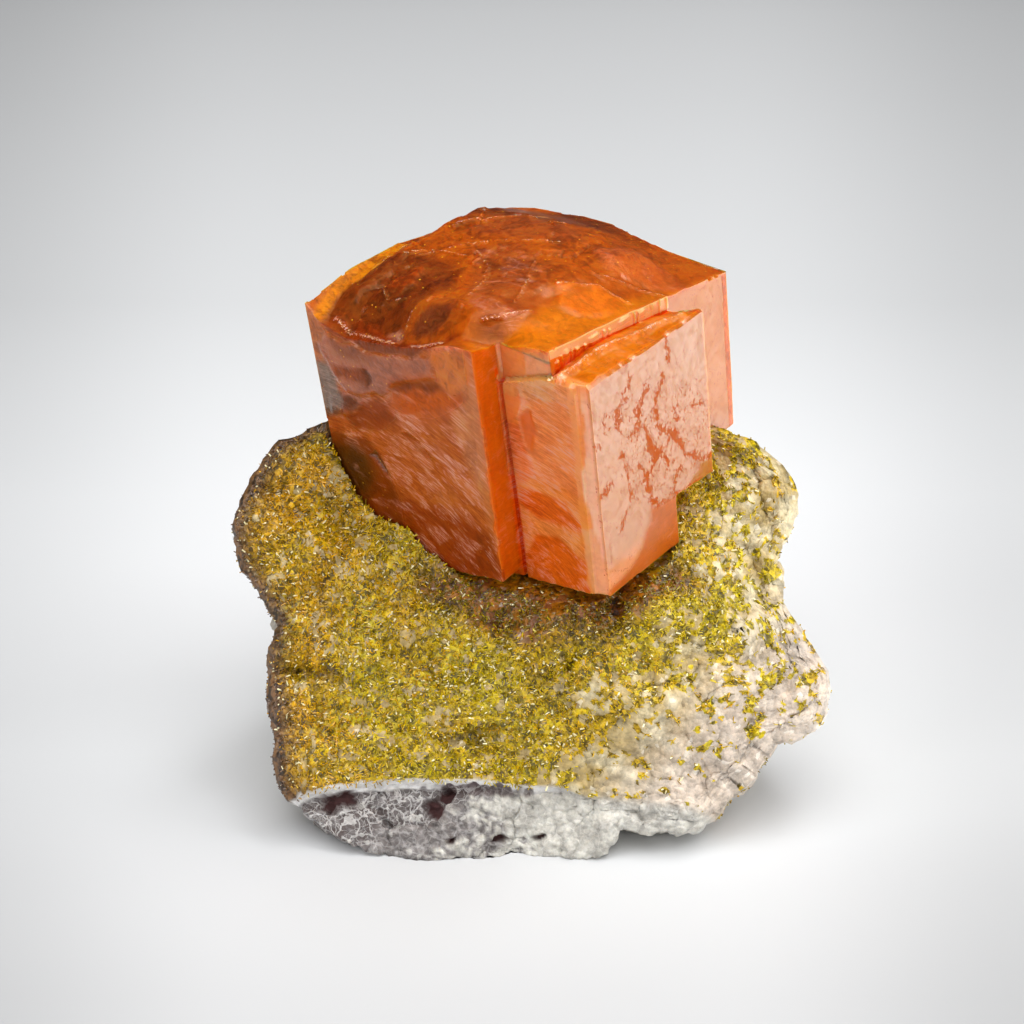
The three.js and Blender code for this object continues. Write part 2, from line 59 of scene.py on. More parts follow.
camera_data = bpy.data.cameras.new("camera")
camera_data.lens = LENS
camera_data.sensor_width = 36
camera_data.clip_start = 1 * MM
camera_data.clip_end = 10
camera = in_scene("camera", camera_data)
towards_camera = Vector((0, -math.cos(CAMERA_RISE), math.sin(CAMERA_RISE)))
camera.location = LOOK_AT + towards_camera * CAMERA_DISTANCE
camera.rotation_mode = "QUATERNION"
camera.rotation_quaternion = (-towards_camera).to_track_quat("-Z", "Y")
bpy.context.scene.camera = camera

# ---- quartz matrix --------------------------------------------------------------------------
# A leaning wedge of rock: fine grey and white quartz, drusy on its sloping front and broken
# across everywhere else. It is one natural piece, cut by nothing but its own old breaks.

ORIGIN = np.array([0.4, 1.2, 0.0])           # middle of the footprint, from the rock's own zero
SLOPE = math.radians(55)
SLOPE_UP = np.array([0, math.cos(SLOPE), math.sin(SLOPE)])
SLOPE_OUT = np.array([0, -math.sin(SLOPE), math.cos(SLOPE)])
TOE_Y = -13.1                                # where the front slope would meet the ground
CENTRE_X, CENTRE_B = 0.5, 19.0               # middle of the polar grid, hidden by the crystal
ROCK_DEPTH = 17.0
GRAIN = 2.7                                  # size of the rounded lumps
# The drusy layer ends along the foot on this line: x, then b.
BAND_EDGE = [-13.7, -12.9, -11.2, -8.9, -6, -2.5, -0.2, 2.1, 4.4, 6.6, 9.5, 10.6, 13], [
    3.7, 4.2, 4.6, 4.9, 5.0, 4.9, 4.6, 4.7, 4.2, 3.9, 3.5, 3.0, 2.2]
BAND_B = 4.6                                 # where that line mostly lies
SEAT_GAP = 0.12                              # between the rock and the crystal in its seat
CRYSTAL_CORNER = np.array([-11.5, 0.5, 21.5]) - ORIGIN
CRYSTAL_TURN = Euler((math.radians(11.9), math.radians(1.95), math.radians(-40.5)), "XYZ")
CRYSTAL_AXES = np.array(CRYSTAL_TURN.to_matrix())

ROCK_SPOKES = 400
FOOT_CROWDING = 0.45                         # how much closer the spokes stand at the foot
COVER_ROWS, BAND_ROWS, BACK_ROWS = 134, 46, 64

# Outline of the sloping front as [x, b], where b runs up the slope from the ground.
OUTLINE = np.array([
    [14.3, 18.0], [15.5, 20.6], [15.3, 22.2], [13.1, 24.2], [11.0, 25.4], [6.0, 27.0],
    [0.0, 28.0], [-6.0, 27.4], [-11.8, 25.4], [-14.3, 24.5], [-15.5, 22.7], [-16.7, 20.3],
    [-16.6, 17.6], [-15.2, 15.9], [-14.0, 13.9], [-14.6, 12.0], [-14.2, 8.3], [-13.9, 4.4],
    [-12.4, 2.8], [-10.3, 1.3], [-7.5, 0.6], [-0.2, 0.5], [4.3, 0.7], [5.6, 2.3],
    [9.9, 2.1], [11.6, 4.4], [12.9, 5.6], [14.1, 7.5], [16.7, 8.1], [17.3, 10.0],
    [16.2, 12.2], [14.5, 15.0],
])

# Larger swellings of the sloping front: x, b, radius, height.
SWELLINGS = [
    (13.4, 21.4, 2.4, 1.0), (10.4, 17.6, 2.8, 0.9), (16.0, 10.2, 1.9, 0.8), (7.4, 14.2, 2.5, 1.0),
    (2.1, 13.6, 2.2, 0.8), (-3.1, 8.4, 2.3, 0.7), (-11.0, 11.9, 2.8, 0.8), (-12.8, 17.8, 2.6, 0.7),
    (-7.6, 13.6, 2.8, 0.6), (6.7, 8.4, 3.0, 0.9), (2.0, 6.2, 2.2, 0.6), (11.2, 9.6, 2.5, 0.8),
    (-9.6, 7.0, 2.4, 0.6), (-13.0, 22.6, 2.2, 0.6), (12.6, 13.8, 2.0, 0.7),
]

# Flat breaks on the sides and back: direction outwards and distance from the rock's middle.
BREAKS = [
    (0.05, 0.98, 0.18, 10.2), (-0.72, 0.66, 0.2, 13.0), (0.74, 0.62, -0.25, 14.0),
    (0.1, 0.75, -0.65, 11.4), (-0.95, 0.12, -0.28, 14.6), (0.93, 0.2, -0.3, 15.2),
]
ROCK_MIDDLE = np.array([CENTRE_X, 0.0, 9.0])


def unit(vectors):
    """Vectors of length 1 in the same directions."""
    return vectors / np.linalg.norm(vectors, axis=-1, keepdims=True)


def soft_step(value, start, end):
    """0 before start and 1 after end, with a smooth cubic between them."""
    t = np.clip((value - start) / (end - start), 0, 1)
    return t * t * (3 - 2 * t)


def chance(i, j, seed):
    """Repeatable value from 0 to 1: the fraction left of a large multiple of a sine."""
    wave = np.sin(i * 127.1 + j * 311.7 + seed * 74.7) * 43758.5453
    return wave - np.floor(wave)


def lumps(x, y, size, seed):
    """Rounded lumps side by side: the highest of the domes that stand on a jittered grid."""
    x, y = x / size, y / size
    column, row = np.floor(x), np.floor(y)
    height = np.zeros(np.broadcast(x, y).shape)
    for across, up in itertools.product((-1, 0, 1), repeat=2):
        i, j = column + across, row + up
        reach = (x - i - chance(i, j, seed)) ** 2 + (y - j - chance(i, j, seed + 1)) ** 2
        crown = 0.55 + 0.45 * chance(i, j, seed + 2)
        height = np.maximum(height, crown * np.sqrt(np.maximum(0, 1 - reach / 0.8)))
    return height


def swell(x, y, middle_x, middle_y, radius_x, radius_y=None):
    """Round swelling of height 1 at its middle that fades out at its radius."""
    reach = ((x - middle_x) / radius_x) ** 2 + ((y - middle_y) / (radius_y or radius_x)) ** 2
    return np.exp(-1.6 * reach)


def drift(points, size, seed):
    """Slow change from 0 to 1 through space: chances on a cubic lattice, blended between."""
    cell = points / size
    low = np.floor(cell)
    share = cell - low
    share = share * share * (3 - 2 * share)
    total = np.zeros(points.shape[:-1])
    for corner in itertools.product((0, 1), repeat=3):
        i, j, k = np.moveaxis(low + np.array(corner), -1, 0)
        weight = np.prod(np.where(corner, share, 1 - share), axis=-1)
        total += weight * chance(i + 31.7 * k, j - 17.3 * k, seed)
    return total


def chips(points, size, seed):
    """Broken chips, -0.5 to 0.5: the tilted plane that belongs to the nearest jittered centre."""
    cell = points / size
    low = np.floor(cell)
    nearest = np.full(points.shape[:-1], 9.0)
    height = np.zeros(points.shape[:-1])
    for corner in itertools.product((-1, 0, 1), repeat=3):
        i, j, k = np.moveaxis(low + np.array(corner), -1, 0)
        turn = [chance(i + 31.7 * k, j - 17.3 * k, seed + n) for n in range(6)]
        offset = cell - (low + np.array(corner)) - np.stack(turn[:3], axis=-1)
        reach = np.sum(offset ** 2, axis=-1)
        plane = np.sum(offset * (np.stack(turn[3:], axis=-1) - 0.5), axis=-1)
        height = np.where(reach < nearest, plane, height)
        nearest = np.minimum(nearest, reach)
    return height


def outline_reach(angle):
    """Distance from the centre to the outline, in a straight line between its points."""
    x, b = OUTLINE[:, 0] - CENTRE_X, OUTLINE[:, 1] - CENTRE_B
    turn = np.arctan2(b, x) % (2 * np.pi)
    return np.interp(angle, *zip(*sorted(zip(turn, np.hypot(x, b)))), period=2 * np.pi)


def edge_share(angle):
    """Share of the reach at which the line along the foot is met, however far out that is."""
    downhill = np.maximum(0.05, -np.sin(angle))
    reach = (CENTRE_B - BAND_B) / downhill
    for _ in range(3):
        reach = (CENTRE_B - np.interp(CENTRE_X + reach * np.cos(angle), *BAND_EDGE)) / downhill
    return reach / outline_reach(angle)


def on_slope(x, b, height):
    """Place at x and b on the slope, raised by a height square to it."""
    along = np.stack([x, np.full_like(x, TOE_Y), np.zeros_like(x)], axis=-1)
    return along + b[..., None] * SLOPE_UP + height[..., None] * SLOPE_OUT


def front_height(x, b, share):
    """Relief of the front: a broad bulge, swellings that fade at the rim, and rounded lumps."""
    bulge = 3.0 * swell(x, b, 4.5, 13.5, 9.5, 9.0) - 1.5 * swell(x, b, -10.2, 20.6, 3.2, 3.0)
    swellings = sum(height * swell(x, b, cx, cb, radius) for cx, cb, radius, height in SWELLINGS)
    grain = 1.3 * lumps(x, b, GRAIN, 1) + 0.4 * lumps(x, b, GRAIN * 0.5, 5)
    band = -0.7 * soft_step(np.interp(x, *BAND_EDGE) - b, 0, 0.5) * soft_step(6 - x, 0, 6)
    return (1 - share ** 4) * bulge + 1.3 * swellings * (1 - share ** 8) + grain + band - 1.1


def broken_rock(points):
    """Uneven broken rock: slow and quick waves through space."""
    x, y, z = np.moveaxis(points, -1, 0)
    slow = np.sin(0.55 * x + 0.4 * z + 1) + np.sin(0.5 * y - 0.6 * z + 2)
    quick = np.sin(1.3 * x - 1.1 * y + 0.5) + np.sin(1.5 * z + x)
    return 0.45 * slow + 0.2 * quick


def rock_form(angle, share):
    """Main form of the rock. Share runs 0 to 1 from the centre of the front to its rim, on the
    slope, and then to 2 on a rounded profile to the middle of the back, pressed to its breaks."""
    angle, share = np.broadcast_arrays(angle, share)
    reach = outline_reach(angle)
    turn = np.clip(share - 1, 0, 1) * np.pi / 2
    spread = np.where(share <= 1, share, np.cos(turn) ** 0.32)
    x = CENTRE_X + spread * reach * np.cos(angle)
    lift = 3 * np.sin(2 * turn) * np.maximum(0, np.sin(angle))
    b = CENTRE_B + spread * reach * np.sin(angle) + lift - 5 * np.sin(turn) ** 2
    height = front_height(x, b, np.minimum(share, 1)) * (1 - soft_step(share, 1, 1.12))
    points = on_slope(x, b, height - ROCK_DEPTH * np.sin(turn) ** 0.85)
    turned = soft_step(share, 1, 1.15)[..., None]
    outward = unit(points - ROCK_MIDDLE)
    rough = broken_rock(points) + 0.7 * lumps(x + points[..., 1], b + points[..., 2], 3.6, 9) - 0.4
    points = points + outward * rough[..., None] * turned
    for *direction, distance in BREAKS:
        direction = unit(np.array(direction))
        beyond = np.maximum(0, (points - ROCK_MIDDLE) @ direction - distance)
        points = points - 0.85 * turned * beyond[..., None] * direction
    return points - ORIGIN


def crystal_place(points):
    """Points in the crystal's own axes: u to the front right, v to the back right, w up."""
    return (points - CRYSTAL_CORNER) @ CRYSTAL_AXES


# Rooms that the crystal fills, in its own axes: lowest corner, and furthest u and v.
CRYSTAL_ROOMS = [
    ((-0.35, 0.0, -7.4), (16.35, 18.1)),
    ((11.2, 1.65, -3.2), (18.9, 12.0)),
    ((11.2, 1.65, -7.4), (18.9, 8.4)),
]


def sink_under_crystal(points, gap=SEAT_GAP):
    """Sinks what stands in the crystal's rooms straight down, until it is a gap below them."""
    place = crystal_place(points)
    for (low_u, low_v, low_w), (high_u, high_v) in CRYSTAL_ROOMS:
        u, v, w = np.moveaxis(place, -1, 0)
        inside = (u > low_u - gap) & (u < high_u + gap) & (v > low_v - gap) & (v < high_v + gap)
        place[..., 2] = np.where(inside, np.minimum(w, low_w - gap), w)
    return place @ CRYSTAL_AXES.T + CRYSTAL_CORNER


def grid_normals(points):
    """Outward directions of a closed grid: across its rows times along its spokes."""
    across = np.gradient(points, axis=0)
    along = np.roll(points, -1, axis=1) - np.roll(points, 1, axis=1)
    normal = np.cross(across, along)
    return normal / np.maximum(1e-9, np.linalg.norm(normal, axis=-1, keepdims=True))


def closed_grid(rows, spokes):
    """Faces of a grid that closes round its spokes, with a fan to a pole at either end."""
    first = 1 + np.arange(rows - 1)[:, None] * spokes + np.arange(spokes)
    after = 1 + np.arange(rows - 1)[:, None] * spokes + (np.arange(spokes) + 1) % spokes
    quads = np.stack([first, first + spokes, after + spokes, after], axis=-1).reshape(-1, 4)
    last = 1 + (rows - 1) * spokes
    ring = np.arange(spokes)
    beside = (ring + 1) % spokes
    front = np.stack([0 * ring, 1 + ring, 1 + beside], axis=-1)
    back = np.stack([0 * ring + 1 + rows * spokes, last + beside, last + ring], axis=-1)
    return quads.tolist() + front.tolist() + back.tolist()


def keep_values(mesh, **values):
    """Keeps a number or a colour at each point of the mesh, for its material."""
    for key, data in values.items():
        colour = data.ndim == 2
        layer = mesh.attributes.new(key, "FLOAT_COLOR" if colour else "FLOAT", "POINT")
        if colour:
            data = np.column_stack([data, np.ones(len(data))])
        layer.data.foreach_set("color" if colour else "value", data.astype(np.float32).ravel())


def made_mesh(name, points, faces, smooth=True, **values):
    """Mesh object from points in millimetres, with numbers or colours kept at its points."""
    mesh = bpy.data.meshes.new(name)
    mesh.from_pydata((points * MM).tolist(), [], faces)
    mesh.shade_smooth() if smooth else mesh.shade_flat()
    keep_values(mesh, **values)
    return in_scene(name, mesh)


def layered(colour, *layers):
    """Colour with others laid over it in turn, each by a share from 0 to 1."""
    for over, share in layers:
        colour = np.asarray(colour) + (np.asarray(over) - np.asarray(colour)) * share[..., None]
    return colour


def cells(x, y, size, seed):
    """Cell pattern: how much further the second nearest jittered centre lies than the nearest."""
    x, y = x / size, y / size
    column, row = np.floor(x), np.floor(y)
    nearest = np.full(np.broadcast(x, y).shape, 9.0)
    second = nearest.copy()
    for across, up in itertools.product((-1, 0, 1), repeat=2):
        i, j = column + across, row + up
        reach = np.hypot(x - i - chance(i, j, seed), y - j - chance(i, j, seed + 1))
        second = np.minimum(second, np.maximum(nearest, reach))
        nearest = np.minimum(nearest, reach)
    return second - nearest


def pits(x, b, places):
    """How deep in a ragged pit a point lies: 1 in the middle, 0 outside its wavy edge."""
    depth = np.zeros_like(x)
    for middle_x, middle_b, length, width, lean in places:
        wave = 0.2 * np.sin(4.1 * x + 2.3 * b) + 0.12 * np.sin(9 * x - 7 * b)
        along = ((x - middle_x) * math.cos(lean) + (b - middle_b) * math.sin(lean)) / length
        across = ((b - middle_b) * math.cos(lean) - (x - middle_x) * math.sin(lean)) / width
        depth = np.maximum(depth, 1 - soft_step(np.hypot(along, across) + wave, 0.6, 1.05))
    return depth


def line_reach(x, y, points, closed=False):
    """Distance from each place to a line through the points given."""
    points = np.array(points, float)
    nearest = np.full(x.shape, 99.0)
    ends = np.roll(points, -1, axis=0) if closed else points[1:]
    for (x0, y0), (x1, y1) in zip(points, ends):
        run, rise = x1 - x0, y1 - y0
        share = np.clip(((x - x0) * run + (y - y0) * rise) / (run ** 2 + rise ** 2), 0, 1)
        nearest = np.minimum(nearest, np.hypot(x - x0 - share * run, y - y0 - share * rise))
    return nearest


def field(x, y, outline, soft):
    """1 inside a closed outline and 0 outside it, soft by so many millimetres on either side."""
    inside = np.zeros(x.shape, bool)
    for (x0, y0), (x1, y1) in zip(outline, outline[1:] + outline[:1]):
        if y0 != y1:
            inside ^= ((y0 > y) != (y1 > y)) & (x < x0 + (y - y0) * (x1 - x0) / (y1 - y0))
    reach = line_reach(x, y, outline, closed=True)
    return soft_step(np.where(inside, reach, -reach), -soft, soft)


QUARTZ_BEIGE = (0.58, 0.42, 0.16)
QUARTZ_CREAM = (0.80, 0.68, 0.42)
QUARTZ_ROSE = (0.76, 0.64, 0.56)
QUARTZ_WHITE = (0.84, 0.81, 0.72)
PORCELAIN = (0.86, 0.84, 0.82)
GLASSY_GREY = (0.135, 0.115, 0.11)
VEIN_WHITE = (0.44, 0.41, 0.40)
BAND_MAUVE_SHADE = (0.10, 0.055, 0.06)
CRUST_LIME = (0.50, 0.38, 0.004)
CRUST_OCHRE = (0.54, 0.29, 0.004)
HOLLOW_SHADE_OLIVE = (0.13, 0.085, 0.008)
PAINTED_SHADOW_OLIVE = (0.24, 0.055, 0.002)
RUST_BROWN = (0.12, 0.055, 0.03)
HOLLOW_BROWN = (0.075, 0.025, 0.024)
BROKEN_TAN = (0.42, 0.36, 0.28)

# Fields of the front as outlines in x and b: bare pale quartz, and the place below the crystal
# where its shadow is painted dark.
PALE_FIELD = [
    (11.2, 24.6), (15.6, 25), (18.0, 20), (18.2, 9.3), (17, 5.9), (12.3, 1), (2.0, 3.0), (1.4, 5.0),
    (4.3, 7.0), (6.1, 8.7), (6.7, 10.5), (7.6, 12.2), (9.6, 12.8), (11.6, 14.5), (10.2, 17.5),
    (11.6, 21.0)]
PALE_PATCH = [(2.1, 9.9), (4.4, 11.0), (6.7, 10.5), (6.7, 9.3), (4.4, 8.2), (2.6, 8.5)]
CRYSTAL_SHADOW_FIELD = [
    (-6.1, 17.5), (-0.2, 17), (5.0, 17), (9.1, 17.5), (9.7, 15.8), (6.7, 14.0), (4.4, 12.3),
    (-0.2, 12.8), (-4.3, 14.6), (-6.7, 16.3)]

# Sunken places in the drusy front: x, b, length, width, lean.
DRUSE_PITS = [
    (-2.7, 7.3, 1.5, 0.6, 0.1), (-11.4, 10.8, 1.6, 0.6, -0.2), (4.6, 14.2, 1.5, 0.7, 0.3)]
MAUVE_BAND = [(-2.5, 4.25, 3.2, 0.42, -0.03)]
DARK_HOLLOWS = [
    (-10.7, 3.55, 1.5, 0.6, 0.2), (-5.3, 3.1, 0.95, 0.6, 0.4), (-4.6, 3.8, 0.5, 0.5, 0.9),
    (-1.6, 1.5, 0.5, 0.25, 0.4), (0.9, 1.6, 0.45, 0.22, 0.2), (-4.2, 1.4, 0.4, 0.16, 0.6)]


def front_place(points):
    """The front's own x and b below points of the part, as its outlines are drawn in."""
    return points[..., 0] + ORIGIN[0], (points + ORIGIN - [0, TOE_Y, 0]) @ SLOPE_UP


def wander(points):
    """Slow shifts of x and b, which let the edges of the fields wander."""
    return 1.6 * (drift(points, 1.5, 15) - 0.5), 1.6 * (drift(points, 1.5, 16) - 0.5)


def bare_quartz(x, b):
    """Share of bare pale quartz: one large field on the right, and a fainter patch beside it."""
    return np.maximum(field(x, b, PALE_FIELD, 1.5), 0.8 * field(x, b, PALE_PATCH, 0.7))


def facing_left(angle):
    """1 where the rim of the front faces left, and 0 where it faces right."""
    return soft_step(-np.cos(angle - 0.35), 0.1, 0.5)


def grown(points, x, b, bare):
    """Where yellow growth covers the quartz: nearly everywhere, but only in clusters where the
    quartz is bare, and in fewer of them low down and far to the right."""
    cluster = drift(points, 0.6, 71) * 0.5 + drift(points, 0.25, 72) * 0.5
    limit = 0.535 + 0.11 * soft_step(11 - b, 0, 6) + 0.03 * soft_step(x, 13, 16)
    return soft_step(cluster - 0.33 - (limit - 0.33) * bare, -0.05, 0.05)


# Spokes stand closer at the foot, where the rock shows its broken band.
spoke = np.arange(ROCK_SPOKES) / ROCK_SPOKES * 2 * np.pi
FOOT_ANGLE = math.radians(272)
rock_angle = (spoke - FOOT_CROWDING * np.sin(spoke - FOOT_ANGLE))[None, :] % (2 * np.pi)
cover = np.minimum(0.93, edge_share(rock_angle))
cover_rows = cover * (np.arange(1, COVER_ROWS + 1)[:, None] / COVER_ROWS) ** 0.9
band_rows = cover + (1 - cover) * np.arange(1, BAND_ROWS + 1)[:, None] / BAND_ROWS
back_rows = 1 + np.arange(1, BACK_ROWS + 1)[:, None] / (BACK_ROWS + 1) + 0 * cover
rock_share = np.concatenate([cover_rows, band_rows, back_rows])
rock_angle = rock_angle + 0 * rock_share

rock = rock_form(rock_angle, rock_share)
rock_out = grid_normals(rock)
x, b = front_place(rock)
past_rim = soft_step(rock_share + 0.05 * drift(rock, 1.1, 19), 1.08, 1.14)
band_edge = np.interp(x, *BAND_EDGE)
foot = soft_step(band_edge - b, 0, 0.12 + 0.6 * soft_step(x, 0, 6)) * (1 - past_rim)
druse = (1 - past_rim) * (1 - foot)
shift_x, shift_b = wander(rock)
paler = bare_quartz(x + shift_x, b + shift_b)
crystal_shadow = field(x + shift_x, b + shift_b, CRYSTAL_SHADOW_FIELD, 0.9)

# On the druse: small quartz grains with flat facets, and sunken places.
grains = 0.2 * lumps(x, b, 0.9, 21) + 0.12 * lumps(x, b, 0.42, 25) + 0.1 * chips(rock, 0.4, 29)
knobs = 0.5 * lumps(x, b, 1.7, 31) + 0.3 * chips(rock, 1.2, 33) + 0.12 * chips(rock, 0.6, 39)
rim_lumps = 0.35 * lumps(x, b, 1.1, 35) + 0.25 * chips(rock, 0.6, 37)
sunken = 0.6 * pits(x, b, DRUSE_PITS)
druse_relief = grains + paler * knobs + soft_step(rock_share, 0.9, 0.98) * rim_lumps
druse_relief = druse_relief - 0.12 - 0.8 * sunken

# Along the foot: a smooth porcelain layer on top, veined glassy quartz on the left below it,
# and knobby white quartz lower down and to the right.
below = band_edge - b + 0.3 * (drift(rock, 0.9, 17) - 0.5)
porcelain = soft_step(0.45 + 0.25 * soft_step(-x, 2, 6) - below, -0.1, 0.1)
porcelain = porcelain * (1 - soft_step(x, 1, 4))
knobby = soft_step(0.42 * (x + 7.5) + shift_x - (b - 1.9), -0.3, 0.3) * (1 - porcelain)
veins = np.exp(-(cells(x + 0.3 * np.sin(3 * b), b, 0.9, 71) / 0.09) ** 2)
veins = np.maximum(veins, 0.8 * np.exp(-(cells(x, b + 0.2 * np.sin(4 * x), 0.42, 73) / 0.1) ** 2))
knobs_white = 0.35 * lumps(x, b, 1.0, 81) + 0.3 * lumps(x, b, 0.42, 83)
knobs_white = knobs_white + 0.2 * lumps(x, b, 0.22, 85) + 0.3 * chips(rock, 0.8, 87)
hollow = pits(x + 0.3 * shift_x, b + 0.2 * shift_b, DARK_HOLLOWS) * foot
mauve = pits(x, b, MAUVE_BAND) * foot
veined = (1 - knobby) * (1 - porcelain) * (0.16 * veins + 0.3 * chips(rock, 1.1, 75))
foot_relief = porcelain * 0.15 + veined + knobby * (knobs_white - 0.25) - 0.6 * hollow - 0.25 * mauve

# Elsewhere the rock is broken: flat chips in three sizes, which fade towards the back's pole.
chipped = 0.9 * chips(rock, 2.6, 41) + 0.45 * chips(rock, 1.0, 47) + 0.2 * chips(rock, 0.42, 53)
broken_relief = chipped * (1 - soft_step(rock_share, 1.85, 1.97))
relief = druse * druse_relief + foot * foot_relief + past_rim * broken_relief
rock = rock + rock_out * relief[..., None]
rock = sink_under_crystal(rock)
rock[..., 2] = np.maximum(rock[..., 2], 0)

# Colours. The needles' own fine crust tints the quartz between them.
# Painted shade: the valleys between the lumps and the sunken places are painted dark olive, on the
# quartz and on its crust.
crown = lumps(x, b, GRAIN, 1)
valley_shade = (1 - soft_step(crown + 0.4 * lumps(x, b, GRAIN * 0.5, 5), 0.25, 0.75)) * druse
tone = drift(rock, 2.4, 61)
mottle = drift(rock, 0.8, 67)
speckle = drift(rock, 0.28, 69)
edge = soft_step(rock_share, 0.93, 1.0) * facing_left(rock_angle)
druse_colour = layered(
    QUARTZ_BEIGE,
    (QUARTZ_CREAM, soft_step(mottle, 0.3, 0.8) * (0.3 + 0.7 * paler)),
    (QUARTZ_ROSE, soft_step(x - 0.9 * b, -2, 5) * 0.8),
    (HOLLOW_SHADE_OLIVE, np.maximum(0.8 * sunken, (0.6 - 0.4 * paler) * valley_shade)),
    # the crystal's painted shadow
    (PAINTED_SHADOW_OLIVE, 0.9 * crystal_shadow),
    (RUST_BROWN, 0.9 * edge * soft_step(speckle, 0.1, 0.5)),
)
crust = layered(
    CRUST_LIME,
    (CRUST_OCHRE, np.clip(0.1 + 0.8 * soft_step(-x, 4, 16) + 1.4 * (tone - 0.5), 0, 1)),
    (HOLLOW_SHADE_OLIVE, np.maximum(0.8 * sunken, 0.6 * valley_shade)),
    # the crystal's painted shadow
    (PAINTED_SHADOW_OLIVE, 0.85 * crystal_shadow),
    (RUST_BROWN, 0.9 * edge),
)
cover_share = druse * np.maximum(0.8 * grown(rock, x, b, paler), 0.6 * edge)
# Painted light and shade: the knobby quartz is whiter on the crowns of its knobs and greyer between
# them, mottled at random.
knob_light_and_shade = knobs_white + 0.4 * (mottle - 0.5) + 0.5 * (speckle - 0.5) + 0.08 * (x - 1)
foot_colour = layered(
    GLASSY_GREY,
    (VEIN_WHITE, np.clip(veins + 0.3 * mottle, 0, 1)),
    (QUARTZ_WHITE, knobby * (0.05 + 0.95 * soft_step(knob_light_and_shade, 0.14, 0.4))),
    (PORCELAIN, porcelain),
    # the dark mauve band: partly the band's own colour, partly painted shade below the druse
    (BAND_MAUVE_SHADE, mauve * (0.7 + 0.3 * speckle)),
    (HOLLOW_BROWN, hollow),
)
broken = layered(
    BROKEN_TAN,
    (QUARTZ_WHITE, soft_step(mottle, 0.35, 0.8)),
    (GLASSY_GREY, soft_step(tone, 0.55, 0.8) * 0.7),
    (RUST_BROWN, soft_step(drift(rock, 3.7, 77), 0.62, 0.85) * 0.55),
)
colour = layered(druse_colour, (foot_colour, foot), (broken, past_rim))
wet = np.clip(druse + 0.8 * foot * (1 - porcelain) * (1 - hollow), 0, 1)
netted = foot * (1 - porcelain) * (1 - hollow) * (0.35 + 0.65 * (1 - knobby))


def with_poles(values, first, last):
    """Values over the rock's grid as one list, with one for the pole at either end."""
    flat = values.reshape(values.shape[0] * values.shape[1], *values.shape[2:])
    return np.concatenate([np.array(first)[None], flat, np.array(last)[None]])


front_pole = sink_under_crystal(rock_form(np.zeros(1), np.zeros(1)))[0]
back_pole = rock_form(np.zeros(1), np.full(1, 2.0))[0]
quartz_matrix = made_mesh(
    "quartz_rock",
    with_poles(rock, front_pole, back_pole),
    closed_grid(len(rock), ROCK_SPOKES),
    tint=with_poles(colour, colour[0, 0], colour[-1, 0]),
    crust=with_poles(crust, crust[0, 0], crust[-1, 0]),
    cover=with_poles(cover_share, 0.0, 0.0),
    wet=with_poles(wet, 0.0, 0.0),
    netted=with_poles(netted, 0.0, 0.0),
)


class Wire:
    """A socket's output in a material. Arithmetic on it adds Math nodes to the same material."""

    def __init__(self, tree, socket):
        self.tree = tree
        self.socket = socket

    def math(self, operation, *others):
        return math_node(self.tree, operation, self, *others)

    def __add__(self, other):
        return self.math("ADD", other)

    def __sub__(self, other):
        return self.math("SUBTRACT", other)

    def __rsub__(self, other):
        return math_node(self.tree, "SUBTRACT", other, self)

    def __mul__(self, other):
        return self.math("MULTIPLY", other)

    def __truediv__(self, other):
        return self.math("DIVIDE", other)

    def __lt__(self, other):
        return self.math("LESS_THAN", other)

    def __gt__(self, other):
        return self.math("GREATER_THAN", other)

    __radd__ = __add__
    __rmul__ = __mul__


def add_node(tree, kind, settings=None, values=None, output=0):
    """Adds a node: its settings first, then a value or a wire for each socket named."""
    node = tree.nodes.new(kind)
    for key, value in (settings or {}).items():
        if key == "stops":
            for stop, (place, shade) in zip(ramp_stops(node.color_ramp, len(value)), value):
                stop.position = place
                stop.color = (*shade, 1) if hasattr(shade, "__len__") else (shade, shade, shade, 1)
        else:
            setattr(node, key, value)
    for key, value in (values or {}).items():
        if isinstance(value, Wire):
            tree.links.new(value.socket, node.inputs[key])
        else:
            node.inputs[key].default_value = value
    return Wire(tree, node.outputs[output])


def math_node(tree, operation, *values):
    """Math node over the values, in their order."""
    return add_node(tree, "ShaderNodeMath", {"operation": operation}, dict(enumerate(values)))


def ramp_stops(ramp, count):
    """The stops of a colour ramp, as many as asked for."""
    while len(ramp.elements) < count:
        ramp.elements.new(1.0)
    return ramp.elements


def new_material(name):
    """Empty node material with its Principled shader and output."""
    material = bpy.data.materials.new(name)
    material.use_nodes = True
    tree = material.node_tree
    tree.nodes.clear()
    shader = tree.nodes.new("ShaderNodeBsdfPrincipled")
    output = tree.nodes.new("ShaderNodeOutputMaterial")
    tree.links.new(shader.outputs[0], output.inputs["Surface"])
    return material, tree, shader, output


def set_shader(shader, **values):
    """Sets or links the shader's sockets, with spaces for the underscores in their names."""
    for key, value in values.items():
        socket = shader.inputs[key.replace("_", " ")]
        if isinstance(value, Wire):
            value.tree.links.new(value.socket, socket)
        else:
            socket.default_value = value


def mix_colours(tree, share, first, second, blend="MIX"):
    """Colour part of the way from the first to the second, each three numbers or a wire."""
    first, second = (end if isinstance(end, Wire) else (*end, 1.0) for end in (first, second))
    settings = {"data_type": "RGBA", "blend_type": blend}
    return add_node(tree, "ShaderNodeMix", settings, {0: share, 6: first, 7: second}, output=2)


def kept_value(tree, name, colour=False):
    """A number or a colour that the mesh keeps at its points."""
    settings = {"attribute_name": name}
    return add_node(tree, "ShaderNodeAttribute", settings, output=0 if colour else 2)


def object_place(tree):
    """Place on the piece, in its own coordinates."""
    return add_node(tree, "ShaderNodeTexCoord", output=3)


def split_place(tree, place):
    """The three coordinates of a place."""
    return [add_node(tree, "ShaderNodeSeparateXYZ", values={0: place}, output=k) for k in range(3)]


